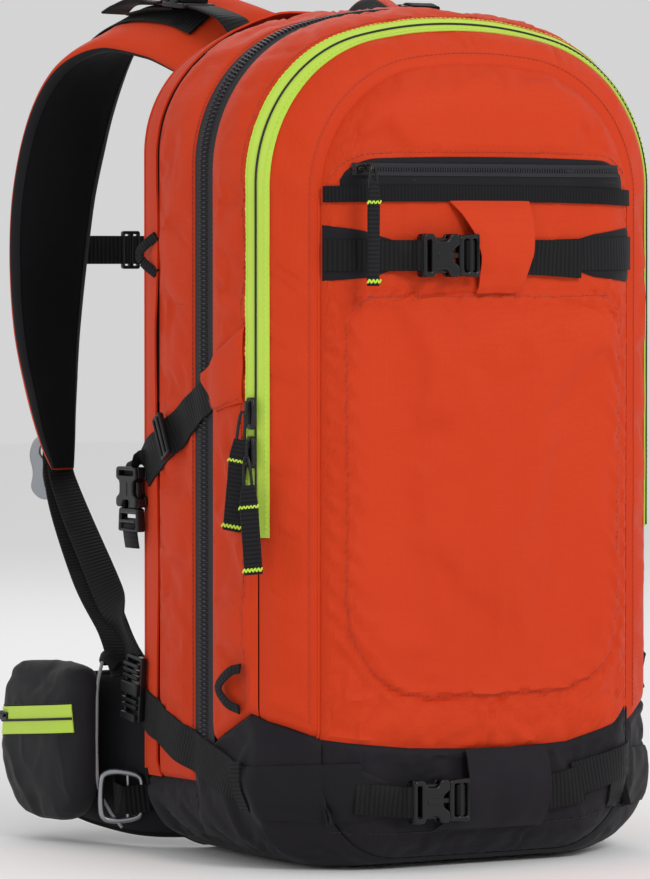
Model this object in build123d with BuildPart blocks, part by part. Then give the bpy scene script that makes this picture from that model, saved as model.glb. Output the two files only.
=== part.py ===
from build123d import *
import math
import os

os.makedirs("parts", exist_ok=True)

# Ski touring backpack with an airbag. Millimetres. The front face looks towards -Y, the
# wearer stands on the +Y side with their left arm at -X, and the base stands on z = 0.

# Overall sizes
pack_width = 310.0
pack_height = 562.0
pack_depth = 194.0
back_y = 104.0
back_gusset = 87.0
front_gusset = 29.0
front_bulge = 16.0

# Skin of the body
skin = 3.0
boot_height = 80.0
base_radius = 58.0
crown_radius = 300.0
patch = 1.5
webbing = 1.8
seat = 0.05
gap = 0.4

# Zippers
main_tape = 12.0
lime_tape = 16.0
teeth_width = 5.0
teeth_proud = 1.5
lime_end_z = 216.0
slider_size = (5.0, 9.0, 18.0)

# Webbing and hardware
strap_width = 20.0
buckle_length = 27.0
buckle_width = 28.0
buckle_thick = 10.0
buckle_wall = 2.0
prong_length = 21.0
male_base = 16.0

# Front face
front_strap_drop = 164.0
pocket_drop = 115.0
pocket_height = 30.0
base_strap_z = 45.0
buckle_x = -45.0
base_buckle_x = -52.0

# Shoulder straps and hip wings
shoulder_thick = 13.0
wing_thick = 12.0

front_y = back_y - pack_depth
seam_y = front_y + front_bulge
lime_zip_y = seam_y + front_gusset
main_zip_y = back_y - back_gusset
half_width = pack_width / 2
front_strap_z = pack_height - front_strap_drop
pocket_z = pack_height - pocket_drop

# Depth, side inset, crown drop, floor lift and shoulder radius of the body's sections
stations = [
    (front_y, 62.0, 70.0, 20.0, 75.0),
    (seam_y, 37.0, 37.0, 4.0, 88.0),
    (lime_zip_y, 5.0, 13.0, 0.0, 99.0),
    (main_zip_y, 0.0, 0.0, 0.0, 100.0),
    (back_y, 5.0, 6.0, 0.0, 78.0),
]


def outline_at(y, grow=0.0):
    """Half width, crown, floor and shoulder radius at depth y, grown outward."""
    y = min(max(y, front_y), back_y)
    for near, far in zip(stations, stations[1:]):
        if y <= far[0]:
            share = (y - near[0]) / (far[0] - near[0])
            inset, drop, lift, radius = (a + (b - a) * share for a, b in zip(near[1:], far[1:]))
            break
    return half_width - inset + grow, pack_height - drop + grow, lift - grow, radius + grow


def arch_section(y, grow):
    """The body's arched outline at depth y."""
    half, crown, floor, shoulder = outline_at(y, grow)
    crown_r = crown_radius + grow
    low_r = base_radius + grow
    crown_z = crown - crown_r
    shoulder_z = crown_z + math.sqrt((crown_r - shoulder) ** 2 - (half - shoulder) ** 2)
    turn = math.degrees(math.atan2(shoulder_z - crown_z, half - shoulder))
    with BuildSketch(Plane.XZ.offset(-y)) as section:
        with BuildLine():
            right_low = CenterArc((half - low_r, floor + low_r), low_r, -90, 90)
            right_high = CenterArc((half - shoulder, shoulder_z), shoulder, 0, turn)
            CenterArc((0, crown_z), crown_r, turn, 180 - 2 * turn)
            left_high = CenterArc((shoulder - half, shoulder_z), shoulder, 180 - turn, turn)
            left_low = CenterArc((low_r - half, floor + low_r), low_r, 180, 90)
            Line(right_low @ 1, right_high @ 0)
            Line(left_high @ 1, left_low @ 0)
            Line(left_low @ 1, right_low @ 0)
        make_face()
    return section.sketch


def body_block(near_y, far_y, grow=0.0):
    """The body as a solid between two depths, grown outward."""
    depths = [near_y] + [s[0] for s in stations if near_y < s[0] < far_y] + [far_y]
    with BuildPart() as block:
        loft([arch_section(y, grow) for y in depths], ruled=True)
    return block.part


def skin_ring(near_y, far_y, low_z, outer=0.0, inner=-skin):
    """The body's skin between two depths, above a height."""
    solid = body_block(near_y, far_y, outer)
    hollow = body_block(near_y - 1, far_y + 1, inner)
    with BuildPart() as ring:
        add(solid)
        add(hollow, mode=Mode.SUBTRACT)
        split(bisect_by=Plane.XY.offset(low_z), keep=Keep.TOP)
    return ring.part


def surface_layer(lift, thick):
    """A layer that follows the body's sides, top and front, lifted off the skin."""
    solid = body_block(front_y - lift - thick, back_y, lift + thick)
    hollow = body_block(front_y - lift, back_y + 1, lift)
    with BuildPart() as layer:
        add(solid)
        add(hollow, mode=Mode.SUBTRACT)
        split(bisect_by=Plane.XY, keep=Keep.TOP)
    return layer.part


strap_lift = patch + 0.3
patch_layer = surface_layer(seat, patch - seat)
strap_layer = surface_layer(strap_lift, webbing)


def side_plane(side):
    """A plane through the middle whose normal points out of one side: x is +Y, y is +Z."""
    if side > 0:
        return Plane(origin=(0, 0, 0), x_dir=(0, 1, 0), z_dir=(1, 0, 0))
    return Plane(origin=(0, 0, 0), x_dir=(0, -1, 0), z_dir=(-1, 0, 0))


def side_patch(side, corners, layer):
    """A piece of a layer on one side, cut to an outline of (y, z) corners."""
    with BuildPart() as piece:
        with BuildSketch(side_plane(side)):
            with BuildLine():
                Polyline(*[(side * y, z) for y, z in corners], close=True)
            make_face()
        extrude(amount=half_width * 2)
        add(layer, mode=Mode.INTERSECT)
    return piece


def front_patch(corners, layer):
    """A piece of a layer on the front, cut to an outline of (x, z) corners."""
    with BuildPart() as piece:
        with BuildSketch(Plane.XZ.offset(-seam_y - front_gusset / 2)):
            with BuildLine():
                Polyline(*corners, close=True)
            make_face()
        extrude(amount=pack_depth)
        add(layer, mode=Mode.INTERSECT)
    return piece


def side_pair(make):
    """Both sides' copies of a piece, as separate solids of one part."""
    copies = [make(side).part for side in (-1, 1)]
    with BuildPart() as pair:
        add(copies)
    return pair


def rectangle_corners(a0, a1, z0, z1):
    return [(a0, z0), (a1, z0), (a1, z1), (a0, z1)]


def save(piece, name):
    piece.part.label = name
    export_step(piece.part, f"parts/{name}.step")


# ---------------------------------------------------------------- body shells
with BuildPart() as base_boot:
    add(body_block(front_y, back_y))
    add(body_block(front_y + skin, back_y - skin, -skin), mode=Mode.SUBTRACT)
    split(bisect_by=Plane.XY.offset(boot_height), keep=Keep.BOTTOM)
save(base_boot, "base_boot")

with BuildPart() as back_shell:
    add(skin_ring(main_zip_y + main_tape / 2, back_y, boot_height))
save(back_shell, "back_shell")

with BuildPart() as middle_shell:
    add(skin_ring(lime_zip_y, main_zip_y - main_tape / 2, boot_height))
    with Locations((0, lime_zip_y, lime_end_z + pack_height / 2)):
        Box(pack_width * 2, lime_tape, pack_height, mode=Mode.SUBTRACT)
save(middle_shell, "middle_shell")

with BuildPart() as front_shell:
    add(body_block(front_y, lime_zip_y))
    add(body_block(front_y + skin, lime_zip_y + 1, -skin), mode=Mode.SUBTRACT)
    split(bisect_by=Plane.XY.offset(boot_height), keep=Keep.TOP)
    with Locations((0, lime_zip_y, lime_end_z + pack_height / 2)):
        Box(pack_width * 2, lime_tape, pack_height, mode=Mode.SUBTRACT)
save(front_shell, "front_shell")

# ---------------------------------------------------------------- zippers
tape_inner = -skin / 2


def zipper_band(y, tape, low_z):
    """A zipper's tape, as deep as half the skin, with its row of teeth standing proud."""
    flat = skin_ring(y - tape / 2, y + tape / 2, low_z, 0.0, tape_inner)
    teeth = skin_ring(y - teeth_width / 2, y + teeth_width / 2, low_z, teeth_proud, tape_inner / 3)
    with BuildPart() as band:
        add(flat)
        add(teeth)
    return band.part


with BuildPart() as main_zipper:
    add(zipper_band(main_zip_y, main_tape, boot_height))
save(main_zipper, "main_zipper")

with BuildPart() as lime_zipper:
    add(zipper_band(lime_zip_y, lime_tape, lime_end_z))
save(lime_zipper, "lime_zipper")


def zip_slider(side, y, z):
    """A slider that rides just off the teeth on one side of the pack."""
    depth, across, tall = slider_size
    inner_x = outline_at(y)[0] + teeth_proud + gap
    with BuildPart() as slider:
        with Locations((side * (inner_x + depth / 2), y, z)):
            Box(depth, across, tall)
        fillet(slider.edges().filter_by(Axis.X), 3)
    return slider


def zip_pull(side, y, z, lean, length):
    """A webbing pull that hangs from a slider's outer face and leans towards the back."""
    outer_x = outline_at(y)[0] + teeth_proud + 2 * gap + slider_size[0]
    end_y = y + lean
    drop = math.sqrt(length**2 - lean**2)
    with BuildPart() as pull:
        with BuildSketch(side_plane(side).offset(outer_x)):
            with BuildLine():
                Polyline(
                    (side * (y - 4), z),
                    (side * (y + 4), z),
                    (side * (end_y + 5), z - drop),
                    (side * (end_y - 5), z - drop),
                    close=True,
                )
            make_face()
        extrude(amount=2.5)
    return pull


upper_slider_z = 296.0
lower_slider_z = 272.0
upper_slider = zip_slider(-1, lime_zip_y, upper_slider_z)
save(upper_slider, "lime_slider_upper")
lower_slider = zip_slider(-1, lime_zip_y, lower_slider_z)
save(lower_slider, "lime_slider_lower")
upper_pull = zip_pull(-1, lime_zip_y + 6, upper_slider_z, 20.0, 76.0)
save(upper_pull, "lime_pull_upper")
lower_pull = zip_pull(-1, lime_zip_y - 6, lower_slider_z - slider_size[2] / 2, -2.0, 70.0)
save(lower_pull, "lime_pull_lower")

main_slider_z = 130.0
main_slider = zip_slider(1, main_zip_y, main_slider_z)
save(main_slider, "main_slider")
main_pull = zip_pull(1, main_zip_y, main_slider_z, 0.0, 45.0)
save(main_pull, "main_pull")

# Airbag burst zipper along the back edge of each side, and a small webbing loop by it
burst_y = 84.0
burst_low_z = 308.0
burst_high_z = pack_height - 62
burst_corners = rectangle_corners(burst_y - 4, burst_y + 4, burst_low_z, burst_high_z)
burst_zippers = side_pair(lambda side: side_patch(side, burst_corners, patch_layer))
save(burst_zippers, "burst_zippers")

# ---------------------------------------------------------------- front face
pocket_half = outline_at(seam_y)[0] - 8
pocket_low_z = pocket_z - pocket_height / 2
top_pocket = front_patch(
    rectangle_corners(-pocket_half, pocket_half, pocket_low_z, pocket_low_z + pocket_height), patch_layer
)
save(top_pocket, "top_pocket_panel")

pocket_zip_z = pocket_z + 6
top_zipper = front_patch(
    rectangle_corners(-pocket_half + 5, pocket_half - 5, pocket_zip_z - 3, pocket_zip_z + 3), strap_layer
)
save(top_zipper, "top_pocket_zipper")

top_slider_x = 12 - pocket_half
front_face_y = front_y - strap_lift - webbing
pull_clear_y = front_face_y - gap - buckle_thick - gap
with BuildPart() as top_slider:
    with Locations((top_slider_x, front_face_y - gap - 2, pocket_zip_z)):
        Box(13, 4, 8)
    with Locations((top_slider_x, (front_face_y - gap + pull_clear_y) / 2 + 0.1, pocket_zip_z)):
        Box(5, front_face_y - gap - pull_clear_y - 0.2, 6)
save(top_slider, "top_pocket_slider")

top_pull_low_z = front_strap_z - 21
top_pull_thick = 2.4
top_pull_y = pull_clear_y - gap - top_pull_thick / 2
with BuildPart() as top_pull:
    with Locations((top_slider_x, top_pull_y, (pocket_zip_z + top_pull_low_z) / 2)):
        Box(8, top_pull_thick, pocket_zip_z - top_pull_low_z)
save(top_pull, "top_pocket_pull")

tab_half = 18.0
tab_inner_x = 62.0


def front_tab(side):
    """A reinforced end tab of the front strap."""
    low_z, high_z = front_strap_z - tab_half, front_strap_z + tab_half
    return front_patch(rectangle_corners(side * tab_inner_x, side * pocket_half, low_z, high_z), patch_layer)


save(side_pair(front_tab), "front_tabs")


def gear_straps(middle_x, z, reach):
    """The two runs of webbing that a front buckle joins."""
    half = strap_width / 2
    left_end = middle_x - buckle_length / 2 + 6
    right_end = middle_x + buckle_length / 2 + gap + male_base - 5
    runs = [
        front_patch(rectangle_corners(-reach, left_end, z - half, z + half), strap_layer).part,
        front_patch(rectangle_corners(right_end, reach, z - half, z + half), strap_layer).part,
    ]
    with BuildPart() as straps:
        add(runs)
    return straps


save(gear_straps(buckle_x, front_strap_z, pocket_half - 8), "front_straps")


def buckle_plane(x, z):
    """The buckle's underside on the front face, with the male half leaving towards +X."""
    return Plane(origin=(x, front_face_y - gap, z), x_dir=(1, 0, 0), z_dir=(0, -1, 0))


def buckle_female(plane):
    """Receiver of a side-release buckle: a flat sleeve with a webbing bar."""
    with BuildPart() as female:
        with BuildSketch(plane):
            RectangleRounded(buckle_length, buckle_width, 3)
        extrude(amount=buckle_thick)
        with BuildSketch(plane.offset(buckle_wall)):
            with Locations((8, 0)):
                Rectangle(buckle_length, buckle_width - 2 * buckle_wall)
        extrude(amount=buckle_thick - 2 * buckle_wall, mode=Mode.SUBTRACT)
        with BuildSketch(plane):
            with Locations((4 - buckle_length / 2, 0)):
                Rectangle(3, strap_width + 1)
        extrude(amount=buckle_thick, mode=Mode.SUBTRACT)
    return female


def buckle_male(plane):
    """Plug of a side-release buckle: a webbing bar with two side prongs and a guide."""
    base_x = buckle_length / 2 + gap + male_base / 2
    prong_x = buckle_length / 2 - prong_length / 2 + 1
    prong_y = buckle_width / 2 - buckle_wall - gap - 2
    inner_thick = buckle_thick - 2 * buckle_wall - 2 * gap
    with BuildPart() as male:
        with BuildSketch(plane):
            with Locations((base_x, 0)):
                RectangleRounded(male_base, buckle_width, 3)
        extrude(amount=buckle_thick)
        with BuildSketch(plane):
            with Locations((base_x + 2, 0)):
                Rectangle(4, strap_width + 1)
        extrude(amount=buckle_thick, mode=Mode.SUBTRACT)
        with BuildSketch(plane.offset(buckle_wall + gap)):
            with Locations((prong_x, prong_y), (prong_x, -prong_y), (prong_x + 4, 0)):
                Rectangle(prong_length - 4, 4)
        extrude(amount=inner_thick)
    return male


front_female = buckle_female(buckle_plane(buckle_x, front_strap_z))
save(front_female, "front_buckle_female")
front_male = buckle_male(buckle_plane(buckle_x, front_strap_z))
save(front_male, "front_buckle_male")

# ---------------------------------------------------------------- base strap
save(gear_straps(base_buckle_x, base_strap_z, outline_at(lime_zip_y)[0]), "base_straps")
base_female = buckle_female(buckle_plane(base_buckle_x, base_strap_z))
save(base_female, "base_buckle_female")
base_male = buckle_male(buckle_plane(base_buckle_x, base_strap_z))
save(base_male, "base_buckle_male")

# ---------------------------------------------------------------- both sides
side_buckle_z = 243.0
side_buckle_y = back_y - 6 + buckle_width / 2
loop_width = 12.0
loop_reach = 9.0
lower_lock_z = 108.0
lower_lock_y = back_y + 6
side_buckle_x = outline_at(back_y)[0] + strap_lift + webbing + gap


def webbing_loop(side, y, low_z, high_z):
    """A bridge of webbing that stands off the side, open along Y."""
    base_x = outline_at(y)[0] + patch + gap
    middle_z = (low_z + high_z) / 2
    reach = loop_reach
    tall = high_z - low_z
    with BuildPart() as loop:
        with BuildSketch(Plane.XZ.offset(-y - loop_width / 2)):
            with Locations((side * (base_x + reach / 2), middle_z)):
                Rectangle(reach, tall)
                Rectangle(reach, tall - 2 * webbing, mode=Mode.SUBTRACT)
            with Locations((side * (base_x + reach - webbing / 2), middle_z)):
                Rectangle(webbing, tall)
        extrude(amount=loop_width)
    return loop


def ruled_band(path, widths, thick, across):
    """A band of rectangular sections along a path that starts square to Y.

    across is the width's direction.
    """
    sections = []
    for i, point in enumerate(path):
        after = Vector(*path[min(i + 1, len(path) - 1)])
        along = after - Vector(*path[i - 1]) if i else Vector(0, 1, 0)
        with BuildSketch(Plane(origin=point, x_dir=across, z_dir=along)) as section:
            Rectangle(widths[i], thick)
        sections.append(section.sketch)
    with BuildPart() as band:
        loft(sections, ruled=True)
    return band


# Centre lines of the right-hand straps. Heights hang from the root at the pack's top,
# and the lower pieces' places are measured in from the side of the pack.
root_z = pack_height - 26
shoulder_path = [
    (78.0, back_y + 1.0, root_z),
    (84.0, back_y + 30.0, root_z + 10),
    (92.0, back_y + 66.0, root_z + 20),
    (102.0, back_y + 106.0, root_z + 19),
    (112.0, back_y + 142.0, root_z - 1),
    (119.0, back_y + 167.0, root_z - 36),
    (125.0, back_y + 182.0, root_z - 86),
    (129.0, back_y + 186.0, root_z - 136),
    (134.0, back_y + 179.0, root_z - 191),
    (138.0, back_y + 164.0, root_z - 236),
    (139.0, back_y + 152.0, root_z - 262),
]
shoulder_widths = [70.0, 70.0, 68.0, 66.0, 64.0, 62.0, 60.0, 60.0, 58.0, 52.0, 40.0]
lifter_path = [
    (86.0, back_y + 10.0, root_z + 26),
    (90.0, back_y + 40.0, root_z + 30),
    (96.0, back_y + 75.0, root_z + 35),
    (103.0, back_y + 108.0, root_z + 35),
]
strap_end_x, strap_end_y, strap_end_z = shoulder_path[-1]
lock_x = side_buckle_x + 4
lower_path = [
    (lock_x - 8, lower_lock_y + 8, lower_lock_z + 26),
    (lock_x - 12, lower_lock_y + 40, lower_lock_z + 48),
    ((lock_x + strap_end_x) / 2 - 7, back_y + 96.0, strap_end_z - 69),
    (strap_end_x, strap_end_y - 16, strap_end_z - 24),
]
wing_path = [
    (half_width - 53, back_y + 5.0, 62.0),
    (half_width - 21, back_y + 26.0, 62.0),
    (half_width - 7, back_y + 60.0, 62.0),
    (half_width - 1, back_y + 105.0, 62.0),
    (half_width + 1, back_y + 150.0, 62.0),
]
wing_heights = [112.0, 110.0, 104.0, 92.0, 66.0]


def on_side(side, path):
    return [(side * x, y, z) for x, y, z in path]


tab_corners = [
    (lime_zip_y + lime_tape / 2 + 1, 296),
    (lime_zip_y + lime_tape / 2 + 1, 300),
    (main_zip_y - main_tape / 2 - 5, 350),
    (main_zip_y - main_tape / 2 - 1, 352),
    (main_zip_y - main_tape / 2 - 1, 318),
]
strap_corners = [(main_zip_y - 12, 330), (main_zip_y - 2, 347), (back_y - 2, 270), (back_y - 2, 246)]
wing_strap_front_y = main_zip_y - 42
wing_strap_corners = [(wing_strap_front_y, 66), (wing_strap_front_y, 42), (back_y, 78), (back_y, 102)]
save(side_pair(lambda side: side_patch(side, tab_corners, patch_layer)), "side_tabs")
save(side_pair(lambda side: side_patch(side, strap_corners, strap_layer)), "side_straps")
save(side_pair(lambda side: side_patch(side, wing_strap_corners, patch_layer)), "lower_wing_straps")
save(side_pair(lambda side: webbing_loop(side, lime_zip_y + 27, 104, 132)), "gear_loops")
edge_loop_z = pack_height - 176
save(side_pair(lambda side: webbing_loop(side, back_y - 12, edge_loop_z, edge_loop_z + 26)), "edge_loops")


def lower_webbing(side):
    """Webbing from the ladder lock on the back edge up to the shoulder strap's lower end."""
    return ruled_band(on_side(side, lower_path), [25.0] * 4, 2.0, (1, 0, 0))


save(side_pair(lower_webbing), "lower_webbings")


def lower_ladder_lock(side):
    """Ladder lock that takes the shoulder strap's lower webbing, on the back edge."""
    with BuildPart() as lock:
        with Locations((side * lock_x, lower_lock_y, lower_lock_z)):
            Box(8, 28, 38)
    return lock


def side_buckle_plane(side):
    """A side buckle's underside; its male half leaves downward."""
    origin = (side * side_buckle_x, side_buckle_y, side_buckle_z)
    return Plane(origin=origin, x_dir=(0, 0, -1), z_dir=(side, 0, 0))


save(side_pair(lower_ladder_lock), "lower_ladder_locks")
save(side_pair(lambda side: buckle_female(side_buckle_plane(side))), "side_buckle_females")

d_ring_wire = 3.0
pocket_face_x = wing_path[-1][0] + wing_thick / 2 + 4
pocket_thick = 24.0
hip_pocket_y = back_y + 92.0
hip_pocket_z = 66.0
hip_zip_z = 84.0
for side, hand in ((-1, "left"), (1, "right")):
    save(buckle_male(side_buckle_plane(side)), f"side_buckle_male_{hand}")
    shoulder = ruled_band(on_side(side, shoulder_path), shoulder_widths, shoulder_thick, (1, 0, 0))
    save(shoulder, f"shoulder_strap_{hand}")
    save(ruled_band(on_side(side, lifter_path), [22.0] * 4, 2.5, (1, 0, 0)), f"load_lifter_{hand}")
    save(ruled_band(on_side(side, wing_path), wing_heights, wing_thick, (0, 0, 1)), f"hip_wing_{hand}")
    with BuildPart() as d_ring:
        with BuildSketch(side_plane(side).offset(wing_path[2][0] + 2)):
            with Locations((side * (back_y + 30), 33)):
                RectangleRounded(30, 34, 8)
                RectangleRounded(30 - 2 * d_ring_wire, 34 - 2 * d_ring_wire, 5, mode=Mode.SUBTRACT)
        extrude(amount=d_ring_wire)
    save(d_ring, f"hip_d_ring_{hand}")
    belt_x = wing_path[-1][0] - wing_thick / 2 - 8
    with BuildPart() as hip_buckle:
        with BuildSketch(side_plane(side).offset(belt_x)):
            with Locations((side * (back_y + 128), 62)):
                RectangleRounded(44, 46, 5)
        extrude(amount=4)
    save(hip_buckle, f"hip_buckle_{hand}")

# The only hip pocket, on the left wing
with BuildPart() as hip_pocket:
    with BuildSketch(side_plane(-1).offset(pocket_face_x)):
        with Locations((-hip_pocket_y, hip_pocket_z)):
            RectangleRounded(112, 118, 26)
    extrude(amount=pocket_thick)
save(hip_pocket, "hip_pocket")
with BuildPart() as hip_zipper:
    with BuildSketch(side_plane(-1).offset(pocket_face_x + pocket_thick)):
        with Locations((-hip_pocket_y, hip_zip_z)):
            Rectangle(100, 16)
    extrude(amount=patch)
save(hip_zipper, "hip_zipper")
hip_slider_y = hip_pocket_y + 40
with BuildPart() as hip_slider:
    with Locations((-(pocket_face_x + pocket_thick + patch + gap + 2), hip_slider_y, hip_zip_z)):
        Box(4, 14, 8)
save(hip_slider, "hip_slider")

# Metal hook at the lower end of the left shoulder strap
with BuildPart() as strap_hook:
    with BuildSketch(Plane.XZ.offset(-strap_end_y - 14)):
        with Locations((5 - strap_end_x, strap_end_z - 26)):
            RectangleRounded(34, 44, 8)
            RectangleRounded(24, 30, 5, mode=Mode.SUBTRACT)
    extrude(amount=-4)
save(strap_hook, "strap_hook")

# ---------------------------------------------------------------- sternum strap
sternum_z = shoulder_path[7][2] + 2
sternum_y = shoulder_path[7][1] + shoulder_thick / 2 + 2
sternum_reach = shoulder_path[7][0] + 12
sternum_x = -16.0
sternum_plane = Plane(origin=(sternum_x, sternum_y, sternum_z), x_dir=(1, 0, 0), z_dir=(0, 1, 0))
sternum_left_end = sternum_x - buckle_length / 2 - gap
sternum_right_start = sternum_x + buckle_length / 2 + male_base + 2 * gap
with BuildPart() as sternum_left:
    with Locations(((sternum_left_end - sternum_reach) / 2, sternum_y + webbing / 2, sternum_z)):
        Box(sternum_left_end + sternum_reach, webbing, strap_width)
save(sternum_left, "sternum_webbing_left")
with BuildPart() as sternum_right:
    with Locations(((sternum_right_start + sternum_reach) / 2, sternum_y + webbing / 2, sternum_z)):
        Box(sternum_reach - sternum_right_start, webbing, strap_width)
save(sternum_right, "sternum_webbing_right")
save(buckle_female(sternum_plane), "sternum_buckle_female")
save(buckle_male(sternum_plane), "sternum_buckle_male")

# ---------------------------------------------------------------- back and inside
with BuildPart() as back_panel:
    add(body_block(back_y - skin, back_y, -skin - seat))
    split(bisect_by=Plane.XY.offset(boot_height), keep=Keep.TOP)
save(back_panel, "back_panel")

pad_low_z = 140.0
pad_high_z = pack_height - 72
with BuildPart() as back_pads:
    with BuildSketch(Plane.XZ.offset(-back_y - gap)):
        with Locations((-48, (pad_low_z + pad_high_z) / 2), (48, (pad_low_z + pad_high_z) / 2)):
            RectangleRounded(66, pad_high_z - pad_low_z, 20)
    extrude(amount=-12)
save(back_pads, "back_pads")

haul_top_z = pack_height - 14
with BuildPart() as haul_handle:
    with BuildSketch(Plane.XZ.offset(-back_y - 1)):
        with Locations((0, haul_top_z - 22)):
            RectangleRounded(76, 44, 12)
            RectangleRounded(54, 26, 8, mode=Mode.SUBTRACT)
    extrude(amount=-4)
save(haul_handle, "haul_handle")

sheet_y = back_y - 14
with BuildPart() as frame_sheet:
    add(body_block(sheet_y, sheet_y + 2, -skin - 10))
save(frame_sheet, "frame_sheet")
stay_low_z = 65.0
stay_high_z = pack_height - 67
stay_middle_z = (stay_low_z + stay_high_z) / 2
with BuildPart() as stays:
    with Locations((-52, sheet_y + 4.5, stay_middle_z), (52, sheet_y + 4.5, stay_middle_z)):
        Box(12, 3, stay_high_z - stay_low_z)
save(stays, "stays")

bundle_thick = 26.0
bundle = body_block(sheet_y - 28, sheet_y - 2, -skin - 2)
bundle_hollow = body_block(sheet_y - 29, sheet_y - 1, -skin - 2 - bundle_thick)
with BuildPart() as airbag:
    add(bundle)
    add(bundle_hollow, mode=Mode.SUBTRACT)
    split(bisect_by=Plane.XY.offset(burst_low_z), keep=Keep.TOP)
save(airbag, "airbag")

cylinder_radius = 33.0
cylinder_height = 215.0
cylinder_place = (80.0, 22.0, 90.0)
with BuildPart() as gas_cylinder:
    with BuildSketch(Plane.XY.offset(cylinder_place[2])):
        with Locations(cylinder_place[:2]):
            Circle(cylinder_radius)
    extrude(amount=cylinder_height)
    fillet(gas_cylinder.edges().filter_by(GeomType.CIRCLE), 16)
save(gas_cylinder, "gas_cylinder")
with BuildPart() as valve:
    with BuildSketch(Plane.XY.offset(cylinder_place[2] + cylinder_height)):
        with Locations(cylinder_place[:2]):
            Circle(15)
    extrude(amount=34)
    with BuildSketch(Plane.XZ.offset(-cylinder_place[1] - 14)):
        with Locations((cylinder_place[0], cylinder_place[2] + cylinder_height + 18)):
            Circle(8)
    extrude(amount=-14)
save(valve, "valve")
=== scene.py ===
# %% [markdown]
# # A ski touring backpack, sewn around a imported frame
# The frame below is the pack's engineering model: every joint, buckle and zipper is already
# in its place. This lesson gives it the looks of the real thing: panels of coated nylon that
# bulge between their seams, zippers with real teeth, ribbed webbing and moulded buckles.
# All places are in millimetres until the last moment, when a mesh is written in metres.
# %% The frame
import math

import bpy
import numpy as np
from mathutils import Matrix, Vector, noise


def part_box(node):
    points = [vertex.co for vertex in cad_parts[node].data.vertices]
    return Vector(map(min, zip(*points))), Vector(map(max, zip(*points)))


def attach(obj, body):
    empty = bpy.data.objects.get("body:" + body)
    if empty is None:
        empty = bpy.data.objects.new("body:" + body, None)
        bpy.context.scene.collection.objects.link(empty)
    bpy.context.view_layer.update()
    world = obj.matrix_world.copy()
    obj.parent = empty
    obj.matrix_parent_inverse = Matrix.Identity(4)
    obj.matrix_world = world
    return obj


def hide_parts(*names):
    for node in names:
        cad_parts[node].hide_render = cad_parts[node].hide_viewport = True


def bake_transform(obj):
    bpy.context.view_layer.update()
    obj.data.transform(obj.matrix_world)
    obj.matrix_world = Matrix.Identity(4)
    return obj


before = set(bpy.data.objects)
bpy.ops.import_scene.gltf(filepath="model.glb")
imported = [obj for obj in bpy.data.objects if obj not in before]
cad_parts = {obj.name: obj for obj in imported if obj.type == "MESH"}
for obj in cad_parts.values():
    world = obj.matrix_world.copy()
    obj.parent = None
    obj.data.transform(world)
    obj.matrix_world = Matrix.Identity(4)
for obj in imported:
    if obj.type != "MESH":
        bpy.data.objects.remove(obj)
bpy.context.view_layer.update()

MM = 0.001
GROUND = 0.0002  # metres: the lowest that a visible piece may reach

# %% [markdown]
# ## Materials
# A pack is almost all textile. Nylon pack cloth is woven from filament yarn and coated on the
# inside, so it has a soft sheen and a regular weave; ripstop adds a thicker yarn every few
# millimetres. One helper adds a shader node, and each finish is then a short recipe.
# %% Helpers for materials


def linear(code):
    """An sRGB hex colour as the linear RGBA that shaders expect."""
    parts = [int(code[i:i + 2], 16) / 255 for i in (1, 3, 5)]
    return tuple(p / 12.92 if p <= 0.04045 else ((p + 0.055) / 1.055) ** 2.4 for p in parts) + (1.0,)


def add_node(tree, kind, inputs=None, **settings):
    """Adds a node, sets its properties, and fills or links its inputs."""
    made = tree.nodes.new(kind)
    for name, value in settings.items():
        setattr(made, name, value)
    for name, value in (inputs or {}).items():
        socket = made.inputs[name]
        if isinstance(value, bpy.types.NodeSocket):
            tree.links.new(value, socket)
        else:
            socket.default_value = value
    return made


def new_material(name, **values):
    """A material with a Principled shader whose uniform values sit on its own sockets."""
    material = bpy.data.materials.new(name)
    material.use_nodes = True
    shader = material.node_tree.nodes["Principled BSDF"]
    for socket, value in values.items():
        shader.inputs[socket.replace("_", " ")].default_value = value
    return material, material.node_tree, shader


def mottle(tree, shader, dark, light, scale, coordinate):
    """Colour that drifts between two close tones, as dyed cloth does."""
    cloud = add_node(tree, "ShaderNodeTexNoise", {"Vector": coordinate, "Scale": scale, "Detail": 4.0})
    ramp = add_node(tree, "ShaderNodeMix", {"Factor": cloud.outputs["Fac"]}, data_type="RGBA")
    ramp.inputs["A"].default_value = linear(dark)
    ramp.inputs["B"].default_value = linear(light)
    tree.links.new(ramp.outputs["Result"], shader.inputs["Base Color"])
    return ramp


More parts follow.
